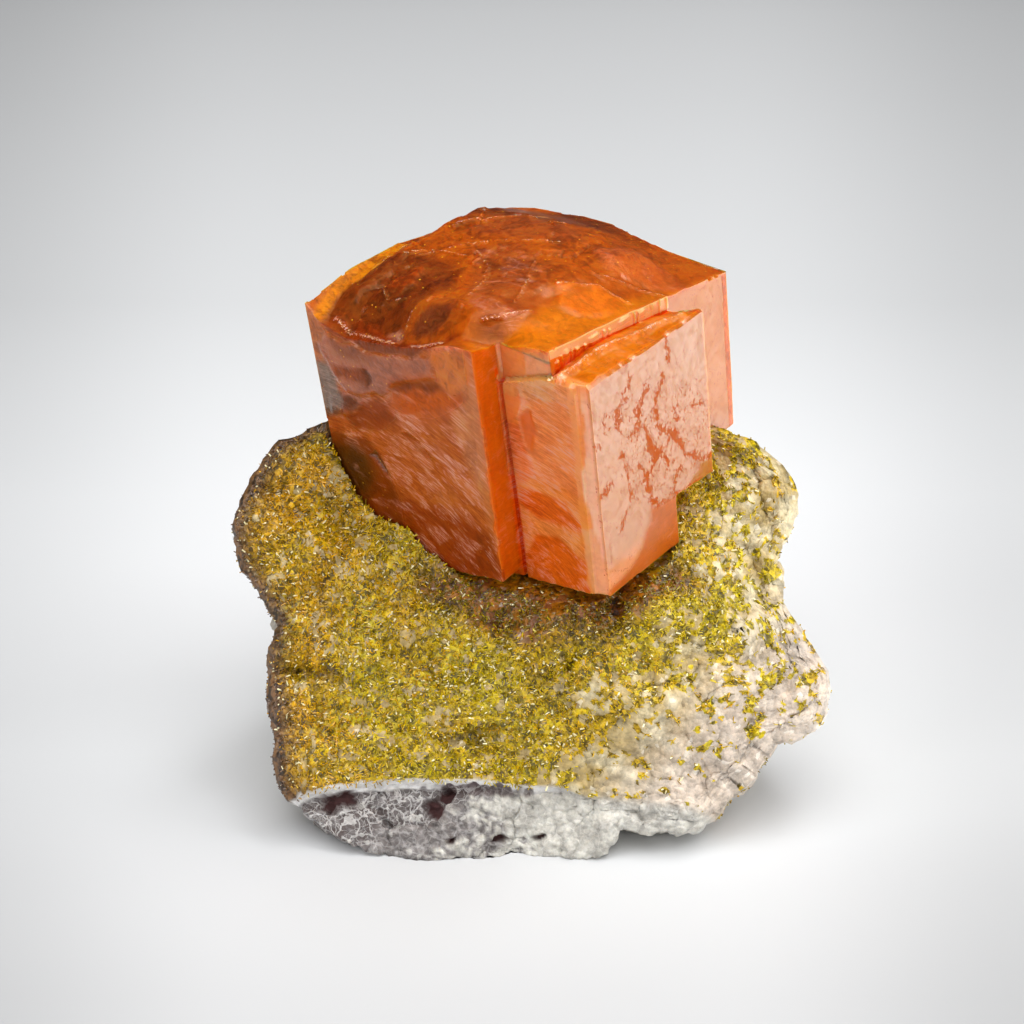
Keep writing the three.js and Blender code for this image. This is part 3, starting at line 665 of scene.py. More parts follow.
def scaled_place(tree, place, factors):
    """Place with each coordinate multiplied by its own factor."""
    return add_node(tree, "ShaderNodeVectorMath", {"operation": "MULTIPLY"}, {0: place, 1: factors})


def noise_at(tree, place, scale, detail, roughness=0.5, distortion=0.0, output=0):
    """Cloudy noise: a number round 0.5, or three of them for output 1."""
    values = {"Vector": place, "Scale": scale, "Detail": detail, "Roughness": roughness,
              "Distortion": distortion}
    return add_node(tree, "ShaderNodeTexNoise", values=values, output=output)


def cells_at(tree, place, scale, feature="F1", output=0):
    """Cells: the distance to the nearest centre or edge, or each cell's chance for output 1."""
    values = {"Vector": place, "Scale": scale}
    return add_node(tree, "ShaderNodeTexVoronoi", {"feature": feature}, values, output)


def bent_place(tree, place, scale, reach):
    """Place shifted by noise of its own for each coordinate, by up to the reach."""
    values = {0: noise_at(tree, place, scale, 3.0, output=1), 1: (reach, reach, reach), 2: place}
    return add_node(tree, "ShaderNodeVectorMath", {"operation": "MULTIPLY_ADD"}, values)


def mapped(tree, value, low, high, to_low=0.0, to_high=1.0):
    """Value carried from the first range over to the second, and held at its ends."""
    values = {0: value, 1: low, 2: high, 3: to_low, 4: to_high}
    return add_node(tree, "ShaderNodeMapRange", values=values)


def ramp_at(tree, value, stops):
    """Grey or colour along a ramp of stops."""
    return add_node(tree, "ShaderNodeValToRGB", {"stops": stops}, {0: value})


def bumped(tree, height, strength, distance):
    """Normal that follows a height, for relief too fine for the mesh."""
    values = {"Strength": strength, "Distance": distance, "Height": height}
    return add_node(tree, "ShaderNodeBump", values=values)


GRAIN_SCALES = (1300.0, 3600.0)              # large and small grains of the quartz, per metre
NET_SCALES = (1100.0, 2400.0)                # large and small glassy cells of the foot
CELL_SHADE = (0.09, 0.065, 0.06)
WALL_WHITE = (0.80, 0.77, 0.74)
SPARKLE_WHITE = (0.95, 0.93, 0.85)


def quartz_material():
    """Quartz in fine grains, each with a shade of its own. Between them lies a fine yellow crust."""
    material, tree, shader, _ = new_material("quartz")
    place = object_place(tree)
    tint, crust = (kept_value(tree, name, colour=True) for name in ("tint", "crust"))
    cover, wet, netted = (kept_value(tree, name) for name in ("cover", "wet", "netted"))
    noise = noise_at(tree, place, 2600.0, 3.0, 0.75)
    clump = noise_at(tree, place, 1700.0, 3.0, 0.75)
    large, small = (cells_at(tree, place, scale) for scale in GRAIN_SCALES)
    chance_large, chance_small = (cells_at(tree, place, scale, output=1) for scale in GRAIN_SCALES)

    # Each grain has its own shade, and its rim is darker.
    grain_shade = (chance_large * 0.5 + chance_small * 0.5) * 0.75 + 0.62 - large * large * 0.35
    grain_shade = mapped(tree, wet, 0.0, 1.0, 1.0, grain_shade)
    shade = add_node(tree, "ShaderNodeVectorMath", {"operation": "SCALE"}, {0: tint, 3: grain_shade})
    depth = ramp_at(tree, noise, [(0.3, 0.5), (0.55, 1.0)])
    shade = mix_colours(tree, 0.6, shade, depth, "MULTIPLY")

    # On the broken foot a net of thin white quartz walls stands between darker glassy cells.
    bent = bent_place(tree, place, 900.0, 0.0012)
    net, fine_net = (cells_at(tree, bent, scale, "DISTANCE_TO_EDGE") for scale in NET_SCALES)
    walls = (net < noise * 0.09) * 0.8 + (fine_net < noise * 0.1) * 0.5
    walls = walls.math("MINIMUM", 1.0) * netted
    gaps = mapped(tree, large + noise * 0.3, 0.62, 0.85)
    shade = mix_colours(tree, netted * (1 - walls) * (0.4 + gaps * 0.55), shade, CELL_SHADE)
    shade = mix_colours(tree, walls * 0.6, shade, WALL_WHITE)

    # The crust lies in clumps, painted olive in their depths as shade and bright on their tips as a
    # highlight.
    crust_shade_and_light = ramp_at(tree, noise * 0.6 + chance_small * 0.4, [
        (0.36, 0.22), (0.48, 0.75), (0.58, 1.25), (0.68, 1.7)])
    crust = mix_colours(tree, 1.0, crust, crust_shade_and_light, "MULTIPLY")
    covered = mapped(tree, clump + (cover - 0.5) * 0.7, 0.44, 0.54, 0.0, cover > 0.02)
    shade = mix_colours(tree, covered, shade, crust)
    sparkle = (chance_small > 0.87) * wet
    shade = mix_colours(tree, sparkle * 0.35 * (1 - covered), shade, SPARKLE_WHITE)
    height = noise * 0.5 - large * 0.9 - small * 0.5 + walls * 0.8
    set_shader(
        shader, Base_Color=shade, Roughness=0.75 - wet * 0.45 + noise * 0.1,
        Normal=bumped(tree, height, 0.7, 0.0002), Subsurface_Weight=0.2, Subsurface_Scale=1.0,
        Subsurface_Radius=(0.0005, 0.0004, 0.0003))
    return material


quartz_matrix.data.materials.append(quartz_material())
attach(quartz_matrix, "root")
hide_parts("quartz_matrix")

# ---- mimetite needles -----------------------------------------------------------------------
# Short yellow-green rods of mimetite that stand and lie all over the drusy front, each grown
# on the quartz below it. They are crowded on the left and thin out towards the right.

NEEDLE_COUNT = 52000
NEEDLE_PIECES = 4
NEEDLE_SIDES = 4
NEEDLE_LENGTH = (0.13, 0.36)
NEEDLE_RADIUS = (0.026, 0.044)
BURIED = 0.03                                # how deep a rod's open end lies in the rock
SHARE_SQUARE = 1.16                          # square of the largest share, a little past the rim
WIDEST = 21                                  # no point of the outline is further from the centre
MIMETITE_LIME = (0.55, 0.43, 0.003)
MIMETITE_OCHRE = (0.62, 0.33, 0.004)
MIMETITE_OLIVE = (0.17, 0.11, 0.004)
NEEDLE_GLINT_CREAM = (1.0, 0.92, 0.55)
MIMETITE_BROWN = (0.13, 0.06, 0.03)


def covered_spots(count, dice):
    """Random spots on the drusy front, even over its area and over its rim, as angle and share."""
    angle = dice.uniform(0, 2 * np.pi, count * 4)
    share = np.sqrt(dice.uniform(0, SHARE_SQUARE, count * 4))
    reach = outline_reach(angle)
    edge = edge_share(angle)
    keep = (dice.uniform(0, 1, count * 4) < (reach / WIDEST) ** 2) & (share < edge + 0.005)
    return angle[keep][:count], share[keep][:count]


def surface_at(angle, share):
    """Places and outward directions of the finished rock at spots given by angle and share."""
    spokes = rock_angle[0]
    order = np.argsort(spokes)
    column = order[np.searchsorted(spokes[order], angle) % len(spokes)]
    row = np.clip((rock_share[:, column] < share).sum(axis=0), 1, len(rock_share) - 2)
    return rock[row, column], grid_normals(rock)[row, column]


def rods(root, along, length, radius, sides):
    """Rods with pointed ends: two rings round the line from each root, and a tip."""
    helper = np.where(np.abs(along[:, 2:3]) < 0.8, [[0, 0, 1.0]], [[1.0, 0, 0]])
    across = unit(np.cross(along, helper))
    third = np.cross(along, across)
    turn = (np.arange(sides) / sides * 2 * np.pi)[None, :, None]
    ring = np.cos(turn) * across[:, None] + np.sin(turn) * third[:, None]
    ring = ring * radius[:, None, None]
    foot = root[:, None] + ring
    shoulder = root[:, None] + along[:, None] * (0.86 * length)[:, None, None] + ring * 0.92
    tip = (root + along * length[:, None])[:, None]
    points = np.concatenate([foot, shoulder, tip], axis=1)
    k = np.arange(sides)
    after = (k + 1) % sides
    side = np.stack([k, after, after + sides, k + sides], axis=-1)
    cap = np.stack([k + sides, after + sides, 0 * k + 2 * sides], axis=-1)
    first = np.arange(len(root))[:, None, None] * (2 * sides + 1)
    sides_and_tips = (side + first).reshape(-1, 4).tolist() + (cap + first).reshape(-1, 3).tolist()
    return points.reshape(-1, 3), sides_and_tips


dice = np.random.default_rng(7)
angle, share = covered_spots(NEEDLE_COUNT, dice)
root, outward = surface_at(angle, share)
spot_x, spot_b = front_place(root)
shift_x, shift_b = wander(root)
bare = bare_quartz(spot_x + shift_x, spot_b + shift_b)
likely = 0.1 * (1 - bare) + (0.9 - 0.2 * bare) * grown(root, spot_x, spot_b, bare)
keep = dice.uniform(0, 1, len(root)) < likely
root, outward, share, angle, spot_x, spot_b = (
    spots[keep] for spots in (root, outward, share, angle, spot_x, spot_b))

# Each rod leans its own way, and none of them into the rock.
lean = 0.75 * unit(dice.normal(0, 1, root.shape))
along = unit(outward * dice.uniform(0.1, 0.9, (len(root), 1)) + lean)
up = np.sum(along * outward, axis=1, keepdims=True)
along = unit(np.where(up < 0.05, along - (up - 0.1) * outward, along))
length = dice.uniform(*NEEDLE_LENGTH, len(root)) * (1 - 0.5 * soft_step(share, 0.96, 1.02))
radius = dice.uniform(*NEEDLE_RADIUS, len(root))
kind = dice.uniform(0, 1, len(root))
radius = radius * np.where(kind > 0.95, 1.4, 1)

# Their colours: ochre towards the left and brown along the left rim. Some are dark olive, and more
# of them below the crystal, as its painted shadow; a few thick ones are cream, as painted glints.
ochre = 0.8 * soft_step(-spot_x, 4, 16) + 1.2 * (drift(root, 2.2, 73) - 0.5)
ochre = np.clip(ochre + 0.4 * dice.uniform(-1, 1, len(root)) + 0.3, 0, 1)
under_crystal_shadow = field(spot_x, spot_b, CRYSTAL_SHADOW_FIELD, 0.9)
rim_brown = soft_step(share, 0.9, 1.0) * facing_left(angle)
needle_colour = layered(MIMETITE_LIME, (MIMETITE_OCHRE, ochre))
needle_colour = layered(
    needle_colour * dice.uniform(0.5, 1.5, (len(root), 1)),
    (MIMETITE_OLIVE, (kind < 0.16 + 0.7 * under_crystal_shadow) * 0.9),
    # painted glints: a few thick rods are cream, fewer in the crystal's painted shadow
    (NEEDLE_GLINT_CREAM, (kind > 0.95 + 0.03 * under_crystal_shadow) * 1.0),
    (MIMETITE_BROWN, rim_brown * (kind < 0.85)),
)
root = root - outward * BURIED

# No rod stands in the crystal.
tip = crystal_place(root + along * length[:, None])
free = np.ones(len(root), bool)
for (low_u, low_v, low_w), (high_u, high_v) in CRYSTAL_ROOMS:
    for u, v, w in (tip.T, crystal_place(root).T):
        free &= ~((u > low_u) & (u < high_u) & (v > low_v) & (v < high_v) & (w > low_w - 0.1))
root, along, length, radius, needle_colour = (
    rod[free] for rod in (root, along, length, radius, needle_colour))


def mimetite_material():
    """Resinous yellow-green rods, each with its own tint, with a high gloss."""
    material, tree, shader, _ = new_material("mimetite")
    set_shader(shader, Base_Color=kept_value(tree, "tint", colour=True), Roughness=0.25, IOR=1.7)
    return material


mimetite = mimetite_material()
for number, group in enumerate(np.array_split(np.arange(len(root)), NEEDLE_PIECES)):
    points, faces = rods(root[group], along[group], length[group], radius[group], NEEDLE_SIDES)
    tint = np.repeat(needle_colour[group], 2 * NEEDLE_SIDES + 1, axis=0)
    needles = made_mesh(f"mimetite_needles_{number + 1}", points, faces, smooth=False, tint=tint)
    needles.data.materials.append(mimetite)
    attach(needles, "root")
    if number == 0:
        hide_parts("mimetite_crust")

# ---- wulfenite crystal ----------------------------------------------------------------------
# One blocky group of wulfenite, grown together from a thick slab and a smaller block in front
# of it. It is clear to cloudy amber orange, glassy to resinous, and etched on its faces.

SKIN_STEP = 0.15                             # spacing of the points on the crystal's skin
SLAB_U, SLAB_V = 16.35, 17.7
RETURN_U, RETURN_V = 12.7, 1.65              # where the front left face steps back
BLOCK_U, BLOCK_V = 18.9, 12.0
NOTCH_V = 1.93                               # the notch's back wall, above the block
NEAR = 0.15                                  # how near to its face a point of the skin lies

# Heights of the slab's four upper edges: places along the edge, then heights.
FRONT_EDGE = [0, 1, 2.9, 5.7, 8.8, 11.1, 16.4], [8.3, 7.35, 6.85, 7.2, 7.85, 8.7, 9.1]
BACK_EDGE = [0, 2, 6, 8.2, 12.3, 16.4], [6.2, 6.8, 7.15, 7.2, 6.4, 6.15]
LEFT_EDGE = [0, 4, 7.9, 11.8, 15.8, 17.7], [8.3, 8.6, 8.35, 7.5, 6.85, 6.2]
RIGHT_EDGE = [0, 5.4, 8.9, 13.3, 17.7], [9.25, 8.5, 7.9, 7.0, 6.1]

# Plain blocks that fill the solid's coarse hollow and cracks, which the skin has in fine form.
FILLED = [((1.3, 0.0, 1.6), (10.6, 1.2, 6.7)), ((17.5, 1.9, -2.9), (18.9, 11.8, 6.9))]


def crystal_skin():
    """The crystal's solid with its doubles merged, skinned evenly in its own axes."""
    solid = bmesh.new()
    solid.from_mesh(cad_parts["wulfenite_crystal"].data)
    bmesh.ops.remove_doubles(solid, verts=solid.verts, dist=1e-6)
    axes = Matrix.LocRotScale(Vector(CRYSTAL_CORNER * MM), CRYSTAL_TURN, Vector((MM, MM, MM)))
    for low, high in FILLED:
        low, high = Vector(low), Vector(high)
        block = Matrix.LocRotScale((low + high) / 2, None, high - low)
        bmesh.ops.create_cube(solid, size=1, matrix=axes @ block)
    mesh = bpy.data.meshes.new("crystal_solid")
    solid.to_mesh(mesh)
    solid.free()
    mesh.transform(axes.inverted())
    solid = in_scene("crystal_solid", mesh)
    skin = solid.modifiers.new("skin", "REMESH")
    skin.mode = "VOXEL"
    skin.voxel_size = SKIN_STEP
    graph = bpy.context.evaluated_depsgraph_get()
    made = bpy.data.meshes.new_from_object(solid.evaluated_get(graph))
    bpy.data.objects.remove(solid)
    return made


def riser(distance, height):
    """Stepped growth layer: a soft riser wherever the distance passes zero."""
    return height * soft_step(distance, -0.6, 0.6)


def slab_top(u, v):
    """Top of the slab: a sheet between its four edges, domed and stepped in growth layers."""
    a, b = u / SLAB_U, v / SLAB_V
    across_v = np.interp(u, *FRONT_EDGE) * (1 - b) + np.interp(u, *BACK_EDGE) * b
    across_u = np.interp(v, *LEFT_EDGE) * (1 - a) + np.interp(v, *RIGHT_EDGE) * a
    corners = (8.3 + 0.8 * a) * (1 - b) + (6.2 - 0.1 * a) * b
    inset = soft_step(u, 0, 2.3) * soft_step(v - 1.75 * soft_step(u, 10.5, 13.5), 0.2, 2.6)
    far = soft_step(SLAB_V - v, 0.2, 5.5) * soft_step(SLAB_U - u, 0.2, 4.5)
    reach = np.hypot(u - 1.5, (v - 15) * 0.9)
    layers = riser(9.5 - reach, 0.14) + riser(6.2 - reach, 0.12) - riser(reach - 13.4, 0.14)
    lobe = 0.3 * swell(u, v, 8.5, 1.8, 2.2, 1.6)
    trough = -0.35 * swell(u, v, 3.9, 1.6, 2.6, 1.2) - 0.3 * swell(u, v, 12.2, 5.0, 2.0, 2.0)
    notch_dip = -0.45 * swell(u, v, 13.3, 1.5, 1.6, 1.2)
    rough = (1 - 0.8 * soft_step(u - 0.35 * v, 8, 11)) * soft_step(far, 0.2, 0.6)
    sheet = np.stack([u, v, 0 * u], axis=-1)
    facets = 0.5 * chips(sheet, 3.4, 101) + 0.22 * chips(sheet, 1.5, 109)
    relief = layers * far + lobe + trough - 0.1 + 1.35 * far + facets * rough
    return across_v + across_u - corners + inset * relief + notch_dip


ORANGE = (0.84, 0.155, 0.002)
SALMON = (0.53, 0.165, 0.01)
PEACH = (0.95, 0.40, 0.17)
PALE_ORANGE_GLOW = (1.0, 0.31, 0.06)
BRIGHT = (0.76, 0.195, 0.002)
SHEER = (0.72, 0.17, 0.022)
MAUVE = (0.55, 0.125, 0.03)
DEEP = (0.45, 0.062, 0.003)
AMBER = (0.52, 0.092, 0.002)
BROWN = (0.25, 0.036, 0.002)
OLIVE = (0.13, 0.035, 0.002)
YELLOW = (0.74, 0.225, 0.002)
GLOW_RED = (0.9, 0.085, 0.001)

WALL_RED = (0.62, 0.18, 0.01)
WALL_GLOW = (0.95, 0.2, 0.01)
NOTCH_ORANGE = (0.76, 0.13, 0.001)
GROOVE_GLOW_ORANGE = (1.0, 0.11, 0.001)
LEDGE_LIT_PALE = (1.0, 0.34, 0.09)

# Fields of the faces. Outline, softness, colour, gloss (how much they mirror), lift in
# millimetres and how streaky they are. On the front faces they are drawn across u and w.
FRONT_FIELDS = [
    ([(4.4, -2.4), (6.4, -3.2), (8.5, -2.6), (10.5, -2.6), (12.3, -3.6), (13, -5), (13, -8),
      (4, -8)], 0.8, DEEP, 0.3, 0.0, 0.8),
    ([(0.9, 1.4), (2.6, 1.0), (4.3, 0.4), (5.6, -0.8), (7.4, -2.2), (4.6, -3.5), (3.9, -0.5),
      (3.1, 0.3), (0.4, -0.5)], 0.5, SHEER, 0.5, 0.0, 1.0),
    ([(-0.5, -0.6), (0.6, -0.3), (3.1, 0.2), (3.8, -0.4), (4.5, -1.4), (4.8, -2.9), (5.2, -7),
      (-0.5, -7)], 0.35, (0.33, 0.05, 0.002), 0.05, 0.0, 0.5),
    ([(-0.5, -1.2), (2.0, -0.7), (3.0, -1.3), (3.2, -2.6), (2.4, -4.2), (-0.5, -4.4)],
     0.8, OLIVE, 0.0, 0.0, 0.3),
    ([(2.0, 2.9), (3.6, 3.2), (5.5, 3.5), (6.0, 2.4), (4.6, 1.0), (2.8, 0.7), (1.6, 1.0)],
     0.5, (0.42, 0.058, 0.002), 0.05, 0.0, 0.5),
    ([(-0.5, 8.7), (0.9, 7.8), (1.4, 6.8), (1.5, 5.9), (0.7, 4.6), (0, 4), (-0.5, 4)],
     0.3, (0.66, 0.17, 0.02), 0.35, 0.0, 0.1),
    ([(0.6, 5.8), (1.4, 6.8), (2.7, 6.6), (4.7, 6.5), (6.3, 6.7), (7.8, 7.1), (8.7, 7.5),
      (9.9, 7.6), (9.6, 7.1), (9.3, 6.2), (8.1, 5.7), (7.0, 5.2), (6.0, 4.6), (5.2, 3.9),
      (4.2, 3.5), (3.0, 3.1), (2.1, 3.1), (1.6, 3.8), (1.0, 4.4)], 0.1, MAUVE, 0.5, 0.12, 0.15),
    # painted shade: the dark band along the top of the face, below its edge
    ([(1.0, 7.6), (1.6, 7.0), (2.8, 6.7), (4.7, 6.6), (6.3, 6.8), (7.8, 7.2), (8.8, 7.6),
      (9.5, 8.6), (6, 8.6)], 0.12, (0.32, 0.045, 0.003), 0.1, 0.0, 0.2),
    ([(1.7, 4.7), (3.0, 5.1), (4.1, 5.3), (4.8, 4.8), (4.4, 4.2), (3.5, 4.1), (2.6, 4.1),
      (1.6, 4.0)], 0.18, (0.45, 0.07, 0.005), 0.12, -0.04, 0.1),
    ([(3.9, 5.2), (4.5, 5.2), (4.6, 4.6), (4.1, 3.9)], 0.12, BROWN, 0.1, -0.05, 0.0),
    ([(0.7, 2.6), (2.1, 3.0), (3.5, 3.1), (3.5, 2.7), (2.7, 1.8), (1.7, 1.3), (0.7, 1.0),
      (0.4, 1.7)], 0.12, MAUVE, 0.5, 0.06, 0.2),
    ([(1.5, 2.6), (2.6, 2.8), (3.0, 2.5), (2.3, 1.9), (1.6, 1.8)], 0.25, BROWN, 0.05, 0.0, 0.1),
    ([(-0.5, 4.6), (0.7, 4.5), (1.5, 3.9), (1.4, 3.0), (1.7, 2.2), (1.0, 1.2), (-0.5, 0.6)],
     0.3, (0.20, 0.10, 0.05), 0.75, 0.0, 0.25),
    ([(5.9, 4.1), (6.2, 4.8), (7.4, 5.5), (9.0, 6.1), (9.7, 6.2), (10.4, 5.7), (10.8, 5.6),
      (11.5, 6.0), (11.6, 5.3), (10.1, 4.1), (8.8, 3.4), (7.6, 3.0), (6.5, 3.0), (5.6, 3.2)],
     0.8, (0.74, 0.12, 0.003), 0.0, 0.0, 0.35),
    # painted shadow below the mauve band
    ([(6.0, 4.45), (7.4, 5.4), (9.0, 6.0), (9.8, 6.0), (10.3, 5.5), (9.6, 5.4), (8.8, 5.1),
      (8.2, 5.2), (7.4, 4.8), (6.8, 4.4)], 0.3, (0.34, 0.046, 0.002), 0.0, -0.06, 0.1),
    ([(1.6, 6.6), (2.2, 5.6), (4.6, 5.7), (5.2, 6.4), (3.0, 6.5)],
     0.4, (0.36, 0.075, 0.02), 0.2, 0.0, 0.1),
    ([(9.6, 7.9), (10.9, 8.5), (12.1, 8.9), (12.5, 8.0), (12.3, 6.1), (11.5, 6.0), (10.4, 5.7),
      (9.7, 6.2), (9.6, 7.1)], 0.2, (0.85, 0.21, 0.012), 0.28, 0.0, 0.1),
    ([(10.4, 3.6), (11.2, 4.9), (11.9, 6.3), (12.8, 7.6), (12.8, 0), (12.9, -4.9), (12.5, -3.8),
      (12.0, -1.4), (11.3, 0.4), (10.9, 2.1)], 0.4, (0.80, 0.25, 0.06), 0.55, 0.0, 0.55),
    ([(7.4, -1.9), (9.7, -1.0), (10.4, -1.9), (9.5, -2.3), (7.7, -2.6)],
     0.2, SHEER, 0.6, 0.02, 0.4),
    ([(6.0, 1.6), (6.9, 1.9), (7.7, 1.4), (8.6, 0.3), (7.9, 0.4), (6.8, 1.0)],
     0.12, AMBER, 0.1, -0.03, 0.8),
    ([(12.62, 9), (12.62, -5.5), (13.1, -5.5), (13.1, 9)], 0.06, ORANGE, 0.1, 0.0, 0.0),
    ([(3.2, -1.1), (3.7, -0.5), (4.2, -1.1), (4.5, -1.8), (4.0, -1.6), (3.6, -1.1)],
     0.1, BROWN, 0.9, -0.12, 0.0),
]
# The second front face is painted paler and brighter than the front face, over its own orange: a
# painted glow of the light that comes through its thin block.
SECOND_FRONT_FIELDS = [
    ([(12.0, 6.1), (14.6, 6.7), (18.9, 7.5), (18.9, 9.5), (12, 9.5)],
     0.1, (1.0, 0.33, 0.08), 0.75, 0.0, 0.1),
    ([(14.7, 5.5), (17.6, 7.4), (17.6, 0.2), (16.8, -0.5), (14.6, 0.4), (14.7, 3.4)],
     0.3, (1.0, 0.27, 0.04), 0.55, 0.0, 0.7),
    ([(12.7, 5.9), (14.4, 6.4), (14.6, 5.5), (13.5, 3.9), (12.5, 3.6)],
     0.12, (1.0, 0.27, 0.06), 0.85, 0.03, 0.1),
    ([(12.7, 3.7), (14.0, 3.9), (14.2, 2.5), (14.6, 0.6), (13.4, -0.3), (12.6, 0.4), (12.4, 2.1)],
     0.2, (1.0, 0.25, 0.06), 0.85, 0.0, 0.8),
    ([(14.6, 5.1), (14.9, 5.0), (15.1, 4.0), (14.5, 2.1), (14.1, 2.9), (13.9, 4.3)],
     0.1, (0.82, 0.15, 0.003), 0.2, -0.03, 0.1),
    ([(13.3, -0.5), (15.3, -0.4), (16.6, -0.4), (17.7, -1.7), (17.6, -2.2), (16.4, -2.2),
      (14.5, -2.2), (13.2, -1.6)], 0.2, (0.85, 0.145, 0.004), 0.2, -0.02, 0.9),
    ([(14.0, -3.6), (15.7, -3.0), (17.0, -3.8), (17.6, -4.1), (18.2, -8.0), (12.4, -8.0),
      (13.0, -5.6)], 0.15, (0.84, 0.14, 0.003), 0.3, -0.02, 0.7),
    ([(17.6, 9), (19.5, 9), (19.5, -9), (17.6, -9)], 0.06, PALE_ORANGE_GLOW, 0.45, 0.0, 0.1),
    # painted reflection: the pale peach strip at the face's right and its lower part
    ([(17.6, -1.8), (19.5, -1.2), (19.5, -9), (18.3, -9), (17.6, -3.8)], 0.1, PEACH, 0.5, 0.0, 0.0),
    ([(18.6, 9), (18.35, 5), (18.1, 1.5), (18.05, 0.2), (18.45, -2.5), (18.95, -5), (19.5, -5),
      (19.5, 9)], 0.06, (1.0, 0.52, 0.32), 0.4, 0.0, 0.0),
]
# On the right-hand faces the fields are drawn across v and w.
RIGHT_FIELDS = [
    # painted reflection: the pale pink low on the face, where it mirrors only the dark rock
    ([(-0.5, -4.6), (2.6, -4.3), (4.8, -4.4), (4.4, -6.0), (1.6, -6.6), (1.0, -8), (-0.5, -8)],
     0.7, (0.86, 0.33, 0.14), 0.35, 0.0, 0.1),
    ([(6.2, -2.5), (7.1, -2.8), (9.2, -3.3), (9.2, -7), (1.0, -8), (1.6, -6.1), (2.3, -5.6),
      (3.7, -5.4), (4.7, -5.2), (5.4, -4.2), (6.0, -3.4)],
     0.3, (0.58, 0.115, 0.002), 0.05, 0.0, 0.25),
]
# On the top they are drawn across u and v.
TOP_FIELDS = [
    ([(12.0, 0.6), (13.1, 3.4), (13.7, 6.2), (14.9, 8.1), (15.6, 10.8), (16.2, 13.1), (16.6, 16.0),
      (19.0, 16), (19, 0), (13.2, -1)], 0.6, BRIGHT, 0.03, 0.0, 0.0),
    ([(12.6, 7.4), (13.9, 9.4), (15.4, 9.6), (16.0, 8.1), (15.0, 6.3), (13.8, 6.0)],
     0.3, (0.78, 0.17, 0.003), 0.05, 0.1, 0.0),
    ([(1.0, 0.3), (0.5, 2.9), (0.9, 4.9), (2.0, 5.9), (3.6, 6.7), (5.9, 6.3), (7.8, 4.1),
      (6.9, 3.0), (6.7, 1.2), (6.0, 0.0), (3.7, -0.4)], 0.5, BROWN, 0.05, 0.0, 0.0),
    ([(3.7, 3.1), (3.5, 4.1), (4.0, 5.2), (4.7, 5.0), (5.1, 3.8), (4.7, 2.9)],
     0.2, (0.42, 0.06, 0.002), 0.1, 0.08, 0.0),
    ([(1.0, 10.9), (1.2, 16.2), (5.5, 18), (10.2, 18), (9.3, 16.1), (7.8, 14.9), (5.8, 13.9),
      (3.5, 12.7)], 0.7, (0.27, 0.045, 0.003), 0.2, 0.0, 0.0),
    ([(0.7, -0.6), (0.3, 1.1), (-0.2, 3.6), (-0.3, 6.0), (-0.3, 8.0), (0.8, 8.2), (1.4, 7.1),
      (1.5, 5.2), (1.0, 3.2), (0.8, 1.4), (1.2, -0.6)], 0.15, YELLOW, 0.0, 0.05, 0.0),
    ([(3.7, 10.1), (4.0, 11.1), (4.5, 11.9), (5.0, 12.4), (5.1, 11.1), (4.6, 9.9)],
     0.12, AMBER, 0.5, 0.06, 0.0),
    ([(3.6, 12.1), (4.8, 13.4), (7.4, 14.4), (10.6, 12.5), (9.4, 11.7), (7.1, 10.6), (4.8, 9.7),
      (4.0, 10.1)], 0.4, (0.44, 0.082, 0.008), 0.15, 0.03, 0.0),
    ([(6.1, 8.1), (7.7, 9.9), (10.1, 9.2), (12.4, 6.7), (13.3, 4.1), (13.0, 2.1), (12.2, 1.5),
      (9.5, 3.8)], 0.6, (0.46, 0.088, 0.008), 0.14, 0.0, 0.5),
    ([(11.0, 12.4), (12.7, 14.7), (14.9, 14.5), (16.7, 13.9), (15.3, 12.1), (13.3, 11.0)],
     0.3, (0.62, 0.12, 0.012), 0.2, 0.06, 0.2),
    ([(10.0, 2.65), (10.3, 1.6), (9.4, 0.6), (8.0, 0.25), (6.9, 0.75), (6.6, 1.8), (7.5, 2.8),
      (8.9, 3.15)], 0.12, (0.46, 0.085, 0.004), 0.06, 0.08, 0.0),
    ([(9.6, 2.3), (9.65, 1.6), (9.0, 0.95), (8.1, 0.7), (7.4, 0.95), (7.35, 1.6), (7.95, 2.25),
      (8.9, 2.5)], 0.25, (0.25, 0.045, 0.008), 0.2, -0.03, 0.0),
    # partly painted highlight: the pale pink spot beside the lobe
    ([(5.7, 0.3), (5.7, 0.8), (6.4, 1.2), (6.9, 0.8), (7.0, 0.2)],
     0.1, (0.55, 0.2, 0.1), 0.9, 0.02, 0.0),
    # painted shade: the dark valley along the top's front edge
    ([(0.9, -0.5), (1.6, 1.2), (3.5, 1.2), (5.6, 0.8), (7.2, 0.3), (9.4, 0.3), (11.2, 1.1),
      (10.5, 0.2), (8.7, -0.6)], 0.2, (0.32, 0.036, 0.002), 0.0, -0.04, 0.0),
    ([(4.3, 15.0), (4.8, 15.5), (5.5, 15.3), (4.9, 14.8)], 0.15, YELLOW, 0.3, 0.0, 0.0),
]
